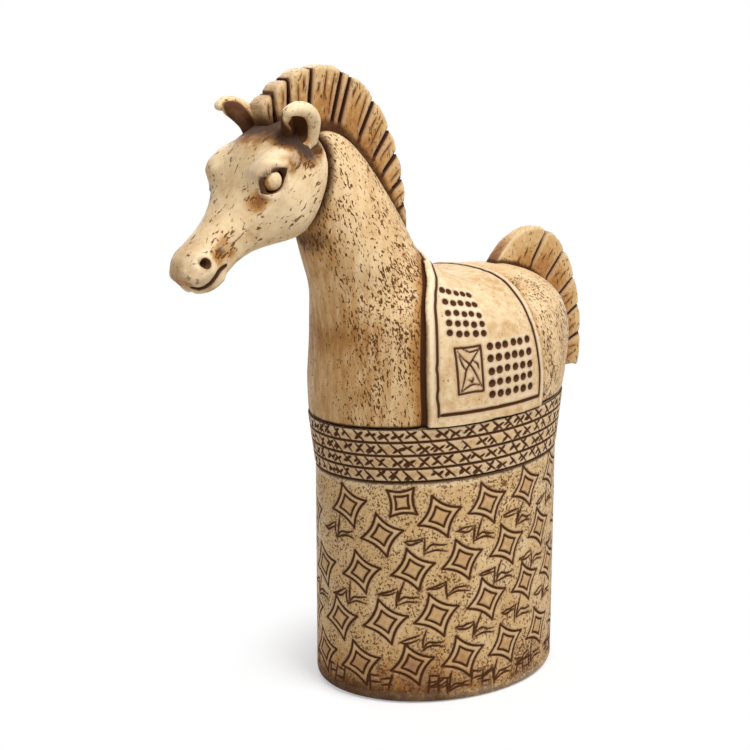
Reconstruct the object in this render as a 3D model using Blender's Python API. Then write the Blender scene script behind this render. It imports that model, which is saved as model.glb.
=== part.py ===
"""Cast resin horse ornament: a hollow oval drum, a girdle ring and a horse in separate castings.

The horse faces -X, its left flank is towards -Y, and the drum stands on the plane Z = 0.
"""

import math

import bmesh
import bpy
from mathutils import Matrix, Vector
from mathutils.geometry import intersect_line_line_2d

MM = 0.001

# Gap left between every two pieces that fit together
CLEARANCE = 0.3 * MM

# Oval drum and its closing plate
DRUM_HALF_LENGTH = 64 * MM
DRUM_HALF_WIDTH = 52 * MM
DRUM_HEIGHT = 112 * MM
DRUM_WALL = 7 * MM
FOOT_ROUND = 3.5 * MM
FOOT_STEPS = 3
PLATE_THICKNESS = 4 * MM
PLATE_LEDGE = 2 * MM

# Girdle ring: four plain rows between cut lines, leaning up towards the tail
GIRDLE_HEIGHT = 26.5 * MM
GIRDLE_THICKNESS = 4 * MM
GIRDLE_PROUD = 0.4 * MM
GIRDLE_FLARE_LENGTH = 4.5 * MM
GIRDLE_FLARE_WIDTH = 0.5 * MM
GIRDLE_ROWS = 4
LINE_DEPTH = 0.8 * MM
LINE_HALF_WIDTH = 0.8 * MM
GIRDLE_RISE = 0.05
LEVEL_FOOT = 20 * MM
LEVEL_BACK = 52 * MM

# Spigot under the horse, which plugs into the drum
SPIGOT_DEPTH = 14 * MM

# Barrel of the horse: height above the girdle, chest and rump beyond the girdle's ends,
# place of the widest point, flank beyond the girdle's side
BARREL_SECTIONS = (
    (17.5, 1.0, 3.0, 2.0, 0.7),
    (33.5, 0.0, 5.0, 2.0, -0.5),
    (47.5, 1.5, 1.0, 0.0, -5.5),
    (57.5, 3.5, -11.0, -6.0, -14.5),
    (63.5, 5.0, -30.0, -20.0, -20.5),
)
# Neck: height above the girdle, throat, crest and widest point along the horse, half width
NECK_SECTIONS = (
    (66.5, -74.0, 2.0, -38.0, 29.5),
    (71.5, -76.0, -15.0, -45.0, 27.0),
    (81.5, -79.5, -22.5, -50.0, 24.6),
    (93.5, -83.5, -29.0, -57.0, 22.0),
    (106.5, -88.0, -37.5, -64.0, 19.2),
    (119.5, -91.0, -47.0, -70.0, 16.5),
    (129.5, -88.0, -56.5, -72.0, 12.5),
    (135.5, -80.0, -65.0, -72.5, 6.0),
)
# Hollow of the back, behind the withers
SADDLE_DIP = 6.5 * MM
SADDLE_DIP_AT = 2 * MM
SADDLE_DIP_REACH = 20 * MM
SADDLE_DIP_FROM = 45 * MM
SADDLE_DIP_FULL = 64 * MM
BODY_POINTS = 48
RINGS_PER_SECTION = 2
REAR_STEPS = 12

# Head: skull centre in front of and above the girdle's centre, nose-down pitch
HEAD_FORWARD = 100.5 * MM
HEAD_UP = 110.5 * MM
HEAD_PITCH = math.radians(39.5)
HEAD_TURN = math.radians(7)
NECK_FORWARD = 75 * MM
# Distance from the skull centre towards the muzzle, height above, depth below, half width
HEAD_SECTIONS = (
    (-28.0, 3.0, 1.0, 4.0),
    (-26.5, 11.0, 5.0, 12.0),
    (-20.0, 19.0, 13.0, 18.5),
    (-10.0, 22.0, 20.0, 20.8),
    (0.0, 22.2, 24.0, 21.8),
    (10.0, 18.8, 24.0, 21.6),
    (20.0, 14.8, 18.3, 17.2),
    (30.0, 12.2, 13.0, 12.4),
    (40.0, 11.2, 10.6, 10.2),
    (50.0, 11.0, 10.2, 10.6),
    (57.0, 10.6, 8.4, 9.9),
    (61.5, 8.4, 4.8, 7.4),
    (63.4, 4.8, 1.4, 3.2),
)
HEAD_POINTS = 36
HEAD_SQUARENESS = 2.4

# Brow swelling over each eye
BROW_ALONG = 9 * MM
BROW_ABOVE = 14.5 * MM
BROW_OUT = 15 * MM
BROW_REACH = 8 * MM
BROW_SWELL = 2.0 * MM
BROW_RISE_SHARE = 0.5

# Eye beads and their lids, nostrils and the dowel that holds the head, all placed in the head's own frame
EYE_RADIUS = 4.8 * MM
EYE_ALONG = 8.3 * MM
EYE_ABOVE = 11 * MM
EYE_OUT = 16.6 * MM
LID_HALF_LENGTH = 7.2 * MM
LID_HALF_HEIGHT = 5.6 * MM
LID_DEPTH = 2.6 * MM
LID_OUT = 20.6 * MM
LID_FORWARD = 1.2 * MM
LID_TILT = math.radians(9)
NOSTRIL_RADIUS = 2.0 * MM
NOSTRIL_ALONG = 55 * MM
NOSTRIL_ABOVE = 6.0 * MM
NOSTRIL_OUT = 8.6 * MM
DOWEL_RADIUS = 3.5 * MM
DOWEL_LENGTH = 44 * MM
DOWEL_ALONG = -15 * MM
DOWEL_ABOVE = -18.3 * MM
BALL_SEGMENTS = 16
BALL_RINGS = 10
ROD_SEGMENTS = 20

# Ears: curled leaves with a hollow in front, rooted in the skull
EAR_ALONG = -21.6 * MM
EAR_ABOVE = 6.1 * MM
EAR_OUT = 18 * MM
RIGHT_EAR_RAISE = 3.2 * MM
EAR_LEAN_FORWARD = math.radians(14)
EAR_SPLAY = math.radians(14)
EAR_CURL = 15 * MM
EAR_LENGTH = 22 * MM
# Share of the ear's length, half width across, half width fore and aft
EAR_SECTIONS = (
    (-0.32, 3.6, 3.6),
    (0.0, 6.4, 5.6),
    (0.2, 7.8, 6.4),
    (0.45, 8.2, 6.0),
    (0.7, 6.8, 5.0),
    (0.88, 4.8, 4.0),
    (1.0, 2.6, 2.4),
)
EAR_POINTS = 20
EAR_HOLLOW = Vector((4.6, 5.8, 8.2)) * MM
EAR_HOLLOW_FORWARD = 5.2 * MM
EAR_HOLLOW_SHARE = 0.46

# Mane crest: a plate whose rim is an oval arc, cut into locks
MANE_FORWARD = 72 * MM
MANE_UP = 86.5 * MM
MANE_RIM_REAR = 48.5 * MM
MANE_RIM_FRONT = 53 * MM
MANE_RIM_HEIGHT = 75 * MM
MANE_START = -6
MANE_END = 129
MANE_THICKNESS = 11 * MM
MANE_SLOTS = (8.4, 17.9, 27.8, 38.0, 53.0, 71.0, 77.0, 96.5, 111.0, 121.0)
MANE_SLOT_WIDTH = 2.0 * MM
MANE_SLOT_AIM = Vector((-88.0, 55.5)) * MM
MANE_ROOT_TOP = 129 * MM
FORELOCK_ROOT = Vector((-99.0, 128.0)) * MM
POLL_ROOT = Vector((-80.0, 130.0)) * MM

# Tail fin, fanned out behind the rump
TAIL_BEYOND_RUMP = -8.5 * MM
TAIL_UP = 19.5 * MM
TAIL_RIM_REAR = 34 * MM
TAIL_RIM_FRONT = 39 * MM
TAIL_RIM_HEIGHT = 60 * MM
TAIL_START = -14
TAIL_END = 126
TAIL_THICKNESS = 8 * MM
TAIL_SLOTS = (2.5, 17.0, 33.0, 52.0, 76.0)
TAIL_SLOT_WIDTH = 1.4 * MM
TAIL_SLOT_AIM = Vector((11.0, -15.0)) * MM
TAIL_ROOT_LOW = 5 * MM
TAIL_ROOT_HIGH = 61 * MM

# Shared by mane and tail
KEY_DEPTH = 4 * MM
SLOT_FLOOR = 6.5 * MM
SLOT_LEAST = 2.6 * MM
ROOT_STEPS = 8
RIM_STEP = 4
EDGE_ROUND = 0.9 * MM

# Saddle cloth: a thin shell over the back, down to the girdle
CLOTH_THICKNESS = 1.3 * MM
# Front edge from the ridge down: place along the horse, height above the girdle
CLOTH_FRONT = (
    (-6.0, 75.0),
    (-14.0, 72.0),
    (-27.0, 69.5),
    (-33.0, 60.0),
    (-38.5, 47.0),
    (-41.0, 24.0),
    (-40.5, 0.0),
)
# Rear edge likewise
CLOTH_REAR = (
    (24.5, 75.0),
    (24.5, 65.0),
    (20.0, 61.0),
    (18.0, 45.0),
    (20.0, 30.0),
    (22.0, 17.0),
    (22.0, 0.0),
)
CLOTH_EDGE_STEPS = 3

OVAL_POINTS = 64
GIRDLE_TOP = DRUM_HEIGHT + GIRDLE_HEIGHT
SEAM = DRUM_HEIGHT + GIRDLE_HEIGHT / 2
GIRDLE_TOP_HALF_LENGTH = DRUM_HALF_LENGTH + GIRDLE_FLARE_LENGTH
GIRDLE_TOP_HALF_WIDTH = DRUM_HALF_WIDTH + GIRDLE_FLARE_WIDTH

CREAM = (0.75, 0.58, 0.36, 1)
OCHRE = (0.60, 0.40, 0.19, 1)
UMBER = (0.10, 0.06, 0.035, 1)
BRASS = (0.60, 0.45, 0.20, 1)


def clear_scene():
    for item in list(bpy.data.objects):
        bpy.data.objects.remove(item, do_unlink=True)


def material(name, colour, roughness=0.5, metallic=0.0):
    made = bpy.data.materials.new(name)
    made.use_nodes = True
    shader = made.node_tree.nodes["Principled BSDF"]
    shader.inputs["Base Color"].default_value = colour
    shader.inputs["Roughness"].default_value = roughness
    shader.inputs["Metallic"].default_value = metallic
    return made


def piece(name, mesh, finish=None, parent=None):
    """Puts a mesh into the scene as a named sub-part."""
    made = bpy.data.objects.new(name, mesh)
    bpy.context.scene.collection.objects.link(made)
    made.parent = parent
    if finish:
        mesh.materials.append(finish)
        mesh.shade_smooth()
        mesh.set_sharp_from_angle(angle=math.radians(35))
    return made


def cutter(name, mesh, parent=None):
    """A shape that only cuts other shapes."""
    made = piece(name, mesh, None, parent)
    made.hide_render = True
    made.display_type = "WIRE"
    return made


def boolean(target, tool, operation="DIFFERENCE"):
    cut = target.modifiers.new(operation.lower(), "BOOLEAN")
    cut.object = tool
    cut.operation = operation
    cut.solver = "EXACT"


def finish_mesh(name, shape):
    bmesh.ops.recalc_face_normals(shape, faces=shape.faces)
    mesh = bpy.data.meshes.new(name)
    shape.to_mesh(mesh)
    shape.free()
    return mesh


def loft(name, rings):
    """A closed skin through rings of points, capped at both ends."""
    shape = bmesh.new()
    rows = [[shape.verts.new(point) for point in ring] for ring in rings]
    count = len(rows[0])
    for lower, upper in zip(rows, rows[1:]):
        for i in range(count):
            j = (i + 1) % count
            shape.faces.new((lower[i], lower[j], upper[j]))
            shape.faces.new((lower[i], upper[j], upper[i]))
    for row in (rows[0], rows[-1]):
        middle = shape.verts.new(sum((v.co for v in row), Vector()) / count)
        for i in range(count):
            shape.faces.new((row[i], row[(i + 1) % count], middle))
    return finish_mesh(name, shape)


def ring_solid(name, rings):
    """A closed tube-like skin whose last ring joins the first."""
    shape = bmesh.new()
    rows = [[shape.verts.new(point) for point in ring] for ring in rings]
    count = len(rows[0])
    for k, lower in enumerate(rows):
        upper = rows[(k + 1) % len(rows)]
        for i in range(count):
            j = (i + 1) % count
            shape.faces.new((lower[i], lower[j], upper[j], upper[i]))
    return finish_mesh(name, shape)


def between(rows, place):
    """Smooth values between table rows, with place counted in rows."""
    k = min(int(place), len(rows) - 2)
    t = place - k
    a, b = rows[max(k - 1, 0)], rows[k]
    c, d = rows[k + 1], rows[min(k + 2, len(rows) - 1)]
    return [
        q + 0.5 * t * (r - p + t * (2 * p - 5 * q + 4 * r - s + t * (3 * (q - r) + s - p)))
        for p, q, r, s in zip(a, b, c, d)
    ]


def sections_between(rows):
    """The table's rows with further ones put between them."""
    steps = RINGS_PER_SECTION * (len(rows) - 1)
    return [between(rows, k / RINGS_PER_SECTION) for k in range(steps + 1)]


def swollen(mesh, swell):
    """Moves each point of a skin out along its normal."""
    moved = [vertex.co + vertex.normal * swell for vertex in mesh.vertices]
    for vertex, place in zip(mesh.vertices, moved):
        vertex.co = place
    return mesh


def leaned(x, z):
    """Height of a point once the girdle's lean is added: none at the foot or on the back."""
    if z <= DRUM_HEIGHT:
        share = max(0.0, (z - LEVEL_FOOT) / (DRUM_HEIGHT - LEVEL_FOOT))
    else:
        share = 1 - max(0.0, z - GIRDLE_TOP) / LEVEL_BACK
    return z + GIRDLE_RISE * x * max(0.0, share)


def oval(z, inset=0.0, count=OVAL_POINTS, datum=0.0):
    """Points of the drum's oval at a height over the datum, flaring through the girdle."""
    flare = min(max((z - DRUM_HEIGHT) / GIRDLE_HEIGHT, 0.0), 1.0)
    long = DRUM_HALF_LENGTH + GIRDLE_FLARE_LENGTH * flare - inset
    wide = DRUM_HALF_WIDTH + GIRDLE_FLARE_WIDTH * flare - inset
    points = []
    for i in range(count):
        angle = 2 * math.pi * i / count
        x = long * math.cos(angle)
        points.append(Vector((x, wide * math.sin(angle), leaned(x, z) - datum)))
    return points


def pedestal_shell(finish):
    """The hollow drum: rounded foot, ledge for the plate below, thinner collar above for the girdle."""
    collar = GIRDLE_THICKNESS + CLEARANCE
    ledge = DRUM_WALL - PLATE_LEDGE
    plate_seat = PLATE_THICKNESS + CLEARANCE
    turns = [math.pi / 2 * k / FOOT_STEPS for k in range(FOOT_STEPS + 1)]
    rings = [oval(FOOT_ROUND * (1 - math.cos(a)), FOOT_ROUND * (1 - math.sin(a))) for a in turns]
    rings += [oval(LEVEL_FOOT), oval(DRUM_HEIGHT), oval(DRUM_HEIGHT, collar), oval(SEAM, collar)]
    rings += [oval(z, DRUM_WALL) for z in (SEAM, DRUM_HEIGHT, LEVEL_FOOT, plate_seat)]
    rings += [oval(plate_seat, ledge), oval(0, ledge)]
    return piece("pedestal_shell", ring_solid("pedestal_shell", rings), finish)


def base_plate(finish):
    """The flat plate let into the drum's foot."""
    inset = DRUM_WALL - PLATE_LEDGE + CLEARANCE
    rings = [oval(0, inset), oval(PLATE_THICKNESS, inset)]
    return piece("base_plate", loft("base_plate", rings), finish)


def girdle_band(finish):
    """The ring over the joint: chamfered edges and a cut line between each two rows."""
    bottom, top = DRUM_HEIGHT + CLEARANCE, GIRDLE_TOP - CLEARANCE
    row = (top - bottom) / GIRDLE_ROWS
    valley = LINE_DEPTH - GIRDLE_PROUD
    rings = [oval(bottom, GIRDLE_THICKNESS), oval(bottom, valley)]
    for k in range(GIRDLE_ROWS):
        line = bottom + k * row
        rings.append(oval(line + LINE_HALF_WIDTH, -GIRDLE_PROUD))
        rings.append(oval(line + row - LINE_HALF_WIDTH, -GIRDLE_PROUD))
        rings.append(oval(line + row, valley))
    rings.append(oval(top, GIRDLE_THICKNESS))
    return piece("girdle_band", ring_solid("girdle_band", rings), finish)


def body_rows():
    """All sections of barrel and neck as height, front, rear, widest point and half width."""
    long, wide = GIRDLE_TOP_HALF_LENGTH, GIRDLE_TOP_HALF_WIDTH
    rows = [(0.0, -long, long, 0.0, wide)]
    for height, chest, rump, widest, flank in BARREL_SECTIONS:
        rows.append((height * MM, -long - chest * MM, long + rump * MM, widest * MM, wide + flank * MM))
    rows += [tuple(value * MM for value in row) for row in NECK_SECTIONS]
    return rows


def body_ring(height, front, rear, widest, half_width):
    """An egg-shaped section of the body."""
    points = []
    for i in range(BODY_POINTS):
        angle = 2 * math.pi * i / BODY_POINTS
        reach = (rear - widest) if math.cos(angle) > 0 else (widest - front)
        x = widest + reach * math.cos(angle)
        z = leaned(x, height + GIRDLE_TOP) - GIRDLE_TOP - dip(x, height)
        points.append(Vector((x, half_width * math.sin(angle), z)))
    return points


def dip(x, height):
    """How far the back sinks at a point, fading out down the flanks."""
    depth = (height - SADDLE_DIP_FROM) / (SADDLE_DIP_FULL - SADDLE_DIP_FROM)
    near = math.exp(-(((x - SADDLE_DIP_AT) / SADDLE_DIP_REACH) ** 2))
    return SADDLE_DIP * near * min(max(depth, 0.0), 1.0)


def rear_at(height):
    """Where the back of the body lies at a height, on the middle plane."""
    rows = body_rows()
    steps = REAR_STEPS * (len(rows) - 1)
    found = [between(rows, k / REAR_STEPS) for k in range(steps + 1)]
    for low, high in zip(found, found[1:]):
        if low[0] <= height <= high[0]:
            share = (height - low[0]) / (high[0] - low[0])
            return low[2] + share * (high[2] - low[2])
    raise ValueError("no section at this height")


def body_skin(name, swell=0.0):
    """Barrel, neck and the spigot below, each point moved out by swell."""
    rows = body_rows()
    collar = GIRDLE_THICKNESS + CLEARANCE
    plug = DRUM_WALL + CLEARANCE
    low = SEAM + CLEARANCE
    steps = ((SEAM - SPIGOT_DEPTH, plug), (low, plug), (low, collar), (GIRDLE_TOP, collar))
    spigot = [oval(z, inset, BODY_POINTS, GIRDLE_TOP) for z, inset in steps]
    rings = [body_ring(*row) for row in sections_between(rows)]
    return swollen(loft(name, spigot + rings), swell)


def in_head(along, above, out=0.0):
    """A point of the head's own frame: along towards the muzzle, above towards the brow."""
    muzzle = Vector((-math.cos(HEAD_PITCH), 0, -math.sin(HEAD_PITCH)))
    brow = Vector((-math.sin(HEAD_PITCH), 0, math.cos(HEAD_PITCH)))
    straight = Vector((NECK_FORWARD - HEAD_FORWARD, out, HEAD_UP)) + muzzle * along + brow * above
    turned = Matrix.Rotation(HEAD_TURN, 3, "Z") @ straight
    return turned - Vector((NECK_FORWARD, 0, 0))


def head_skin(name, swell=0.0):
    """Skull, cheeks and muzzle, with a swelling over each eye."""
    rows = [tuple(value * MM for value in row) for row in HEAD_SECTIONS]
    power = 2 / HEAD_SQUARENESS
    rings = []
    for along, above, below, half_width in sections_between(rows):
        ring = []
        for i in range(HEAD_POINTS):
            angle = 2 * math.pi * i / HEAD_POINTS
            c, s = math.cos(angle), math.sin(angle)
            out = half_width * math.copysign(abs(c) ** power, c)
            up = (above if s > 0 else below) * math.copysign(abs(s) ** power, s)
            gap = Vector((along - BROW_ALONG, up - BROW_ABOVE, abs(out) - BROW_OUT)).length
            lift = BROW_SWELL * math.exp(-((gap / BROW_REACH) ** 2))
            ring.append(in_head(along, up + lift * BROW_RISE_SHARE, out + math.copysign(lift, out)))
        rings.append(ring)
    return swollen(loft(name, rings), swell)


def ball(name, radius):
    shape = bmesh.new()
    bmesh.ops.create_uvsphere(shape, u_segments=BALL_SEGMENTS, v_segments=BALL_RINGS, radius=radius)
    return finish_mesh(name, shape)


def eye_dish(name, side):
    """The almond-shaped dish between the lids of an eye."""
    mesh = ball(name, 1.0)
    for vertex in mesh.vertices:
        long, tall = vertex.co.x * LID_HALF_LENGTH, vertex.co.y * LID_HALF_HEIGHT
        along = EYE_ALONG + LID_FORWARD + long * math.cos(LID_TILT) - tall * math.sin(LID_TILT)
        above = EYE_ABOVE + long * math.sin(LID_TILT) + tall * math.cos(LID_TILT)
        vertex.co = in_head(along, above, side * LID_OUT + vertex.co.z * LID_DEPTH)
    return mesh


def rod(name, radius, length):
    """A round rod along X about the origin."""
    shape = bmesh.new()
    turn = Matrix.Rotation(math.radians(90), 4, "Y")
    bmesh.ops.create_cone(
        shape,
        cap_ends=True,
        segments=ROD_SEGMENTS,
        radius1=radius,
        radius2=radius,
        depth=length,
        matrix=turn,
    )
    return finish_mesh(name, shape)


def ear_skin(name, swell=0.0):
    """A curled leaf standing on its root, its tip bent towards -X."""
    rings = []
    for share, across, deep in EAR_SECTIONS:
        bend = ear_bend(share)
        end = swell * round(share)
        if share < 0:
            end = -swell
        ring = []
        for i in range(EAR_POINTS):
            angle = 2 * math.pi * i / EAR_POINTS
            x = bend + (deep * MM + swell) * math.cos(angle)
            y = (across * MM + swell) * math.sin(angle)
            ring.append(Vector((x, y, share * EAR_LENGTH + end)))
        rings.append(ring)
    return loft(name, rings)


def ear_bend(share):
    """How far the ear has curled forward at a share of its length."""
    return -EAR_CURL * max(share, 0.0) ** 2


def place_ear(item, side):
    above = EAR_ABOVE + max(side, 0) * RIGHT_EAR_RAISE
    item.location = in_head(EAR_ALONG, above, side * EAR_OUT)
    item.rotation_euler = (-side * EAR_SPLAY, -EAR_LEAN_FORWARD, HEAD_TURN)


def ear_hollow(name):
    """The scoop in the front of an ear, curled as the ear is."""
    mesh = ball(name, 1.0)
    middle = Vector((-EAR_HOLLOW_FORWARD, 0, EAR_LENGTH * EAR_HOLLOW_SHARE))
    for vertex in mesh.vertices:
        place = middle + vertex.co * EAR_HOLLOW
        place.x += ear_bend(place.z / EAR_LENGTH)
        vertex.co = place
    return mesh


def rim_point(centre, front, rear, height, degrees):
    angle = math.radians(degrees)
    reach = rear if math.cos(angle) > 0 else front
    return centre + Vector((reach * math.cos(angle), height * math.sin(angle)))


def slot_corners(outer, aim, root, width):
    """Mouth and floor corners of a slot cut from the rim towards a point, stopping short of the root."""
    way = (aim - outer).normalized()
    side = Vector((-way.y, way.x)) * width / 2
    first = root[0] + (root[0] - root[1]) * ROOT_STEPS
    last = root[-1] + (root[-1] - root[-2]) * ROOT_STEPS
    line = [first] + root[1:-1] + [last]
    hits = [intersect_line_line_2d(outer, aim, a, b) for a, b in zip(line, line[1:])]
    reach = max((hit - outer).length for hit in hits if hit)
    floor = outer + way * max(reach - SLOT_FLOOR, SLOT_LEAST)
    lip = outer - way * EDGE_ROUND
    return [lip + side, floor + side, floor - side, lip - side]


def comb_outline(rim, start, end, slots, aim, width, root):
    """Outline of a plate: the rim from start to end, notched by slots, then back along its root."""
    outline, last = [], start
    for stop in list(slots) + [end]:
        steps = max(1, round((stop - last) / RIM_STEP))
        inner = [last + (stop - last) * k / steps for k in range(steps + 1)]
        outline += [rim(a) for a in (inner if stop == end else inner[:-1])][0 if last == start else 1:]
        if stop != end:
            corners = slot_corners(rim(stop), aim, root, width)
            if (corners[0] - outline[-1]).length > (corners[3] - outline[-1]).length:
                corners.reverse()
            outline += corners
        last = stop
    return outline + list(reversed(root))


def plate(name, outline, thickness, edge=0.0):
    """An upright plate on the middle plane, with its edges broken."""
    shape = bmesh.new()
    base = [shape.verts.new((p.x, -thickness / 2 + edge, p.y)) for p in outline]
    face = shape.faces.new(base)
    grown = bmesh.ops.extrude_face_region(shape, geom=[face])
    lifted = [v for v in grown["geom"] if isinstance(v, bmesh.types.BMVert)]
    bmesh.ops.translate(shape, verts=lifted, vec=(0, thickness - 2 * edge, 0))
    bmesh.ops.recalc_face_normals(shape, faces=shape.faces)
    if edge:
        shape.faces.ensure_lookup_table()
        caps = [f for f in shape.faces if len(f.verts) == len(outline)]
        for cap in caps:
            bmesh.ops.inset_region(shape, faces=[cap], thickness=edge, depth=edge, use_even_offset=True)
    return finish_mesh(name, shape)


def mane_root(grow):
    """The bottom of the mane's key, from the withers over the poll to the forehead."""
    low = MANE_UP + MANE_RIM_HEIGHT * math.sin(math.radians(MANE_START)) - grow
    heights = [low + (MANE_ROOT_TOP - low) * k / ROOT_STEPS for k in range(ROOT_STEPS + 1)]
    root = [Vector((rear_at(h) - KEY_DEPTH - grow, h)) for h in heights]
    return root + [POLL_ROOT - Vector((0, grow)), FORELOCK_ROOT - Vector((grow, grow))]


def mane_outline(slots, grow=0.0):
    """Side outline of the mane, moved out all round by grow."""
    centre = Vector((-MANE_FORWARD, MANE_UP))
    spread = math.degrees(grow / MANE_RIM_REAR)

    def rim(degrees):
        front, rear = MANE_RIM_FRONT + grow, MANE_RIM_REAR + grow
        return rim_point(centre, front, rear, MANE_RIM_HEIGHT + grow, degrees)

    start, end = MANE_START - spread, MANE_END + spread
    return comb_outline(rim, start, end, slots, MANE_SLOT_AIM, MANE_SLOT_WIDTH, mane_root(grow))


def tail_root(grow):
    """The bottom of the tail's key, down the rump."""
    low = TAIL_ROOT_LOW - grow
    heights = [low + (TAIL_ROOT_HIGH - low) * k / ROOT_STEPS for k in range(ROOT_STEPS + 1)]
    return [Vector((rear_at(h) - KEY_DEPTH - grow, h)) for h in heights]


def tail_outline(slots, grow=0.0):
    """Side outline of the tail, moved out all round by grow."""
    rump = max(row[2] for row in body_rows())
    centre = Vector((rump + TAIL_BEYOND_RUMP - KEY_DEPTH, TAIL_UP))
    spread = math.degrees(grow / TAIL_RIM_REAR)

    def rim(degrees):
        front, rear = TAIL_RIM_FRONT + grow, TAIL_RIM_REAR + grow
        return rim_point(centre, front, rear, TAIL_RIM_HEIGHT + grow, degrees)

    start, end = TAIL_START - spread, TAIL_END + spread
    return comb_outline(rim, start, end, slots, TAIL_SLOT_AIM, TAIL_SLOT_WIDTH, tail_root(grow))


def cloth_edge(rows):
    """Points of one edge of the saddle cloth, from the ridge down to the girdle."""
    steps = CLOTH_EDGE_STEPS * (len(rows) - 1)
    points = [between(rows, k / CLOTH_EDGE_STEPS) for k in range(steps + 1)]
    return [(x * MM, max(z * MM, CLEARANCE)) for x, z in points]


def cloth_block(name):
    """Side outline of the saddle cloth, carried through the whole body."""
    outline = cloth_edge(CLOTH_FRONT) + cloth_edge(CLOTH_REAR)[::-1]
    level = [(x, leaned(x, z + GIRDLE_TOP) - GIRDLE_TOP) for x, z in outline]
    shape = bmesh.new()
    reach = 2 * GIRDLE_TOP_HALF_WIDTH
    rows = [[shape.verts.new((x, y, z)) for x, z in level] for y in (-reach, reach)]
    shape.faces.new(rows[0])
    shape.faces.new(rows[1])
    for i in range(len(outline)):
        j = (i + 1) % len(outline)
        shape.faces.new((rows[0][i], rows[0][j], rows[1][j], rows[1][i]))
    return finish_mesh(name, shape)


def build():
    clear_scene()
    cream = material("ivory_resin", CREAM)
    ochre = material("ochre_resin", OCHRE)
    umber = material("umber_resin", UMBER)
    brass = material("brass_rod", BRASS, 0.35, 1.0)

    pedestal_shell(ochre)
    base_plate(umber)
    girdle_band(ochre)

    datum = bpy.data.objects.new("horse_datum", None)
    bpy.context.scene.collection.objects.link(datum)
    datum.location.z = GIRDLE_TOP

    body = piece("torso_and_neck", body_skin("torso_and_neck"), cream, datum)
    head = piece("head", head_skin("head"), cream, datum)
    boolean(body, cutter("head_seat", head_skin("head_seat", CLEARANCE), datum))

    dowel = piece("head_dowel", rod("head_dowel", DOWEL_RADIUS, DOWEL_LENGTH), brass, datum)
    bore = rod("dowel_bore", DOWEL_RADIUS + CLEARANCE, DOWEL_LENGTH + 2 * CLEARANCE)
    bore = cutter("dowel_bore", bore, datum)
    for item in (dowel, bore):
        item.location = in_head(DOWEL_ALONG, DOWEL_ABOVE)
        item.rotation_euler.z = HEAD_TURN
    boolean(body, bore)
    boolean(head, bore)

    crest = plate("mane_crest", mane_outline(MANE_SLOTS), MANE_THICKNESS, EDGE_ROUND)
    piece("mane_crest", crest, ochre, datum)
    groove = plate("mane_groove", mane_outline((), CLEARANCE), MANE_THICKNESS + 2 * CLEARANCE)
    groove = cutter("mane_groove", groove, datum)
    boolean(body, groove)
    boolean(head, groove)

    fan = plate("tail_fin", tail_outline(TAIL_SLOTS), TAIL_THICKNESS, EDGE_ROUND)
    piece("tail_fin", fan, ochre, datum)
    slot = plate("tail_slot", tail_outline((), CLEARANCE), TAIL_THICKNESS + 2 * CLEARANCE)
    boolean(body, cutter("tail_slot", slot, datum))

    for side, word in ((-1, "left"), (1, "right")):
        ear = piece(word + "_ear", ear_skin(word + "_ear"), cream, datum)
        seat = cutter(word + "_ear_seat", ear_skin(word + "_ear_seat", CLEARANCE), datum)
        scoop = cutter(word + "_ear_scoop", ear_hollow(word + "_ear_scoop"), datum)
        for item in (ear, seat, scoop):
            place_ear(item, side)
        boolean(ear, scoop)
        boolean(head, seat)
        boolean(body, seat)

        eye = piece(word + "_eye", ball(word + "_eye", EYE_RADIUS), cream, datum)
        socket = cutter(word + "_eye_socket", ball(word + "_eye_socket", EYE_RADIUS + CLEARANCE), datum)
        for item in (eye, socket):
            item.location = in_head(EYE_ALONG, EYE_ABOVE, side * EYE_OUT)
        boolean(head, cutter(word + "_eye_dish", eye_dish(word + "_eye_dish", side), datum))
        boolean(head, socket)

        nostril = cutter(word + "_nostril", ball(word + "_nostril", NOSTRIL_RADIUS), datum)
        nostril.location = in_head(NOSTRIL_ALONG, NOSTRIL_ABOVE, side * NOSTRIL_OUT)
        boolean(head, nostril)

    cloth = piece("saddle_cloth", body_skin("saddle_cloth", CLEARANCE + CLOTH_THICKNESS), cream, datum)
    boolean(cloth, cutter("cloth_block", cloth_block("cloth_block"), datum), "INTERSECT")
    boolean(cloth, cutter("cloth_underside", body_skin("cloth_underside", CLEARANCE), datum))


build()
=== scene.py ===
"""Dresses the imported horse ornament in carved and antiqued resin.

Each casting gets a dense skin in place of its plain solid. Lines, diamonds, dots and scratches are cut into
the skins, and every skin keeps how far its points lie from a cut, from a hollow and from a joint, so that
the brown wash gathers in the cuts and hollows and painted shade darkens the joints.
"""

import math
import random

import bpy
import numpy as np
from bpy.props import FloatProperty, FloatVectorProperty, IntProperty, PointerProperty
from mathutils import Euler, Matrix, Vector
from mathutils.bvhtree import BVHTree
from mathutils.kdtree import KDTree


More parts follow.
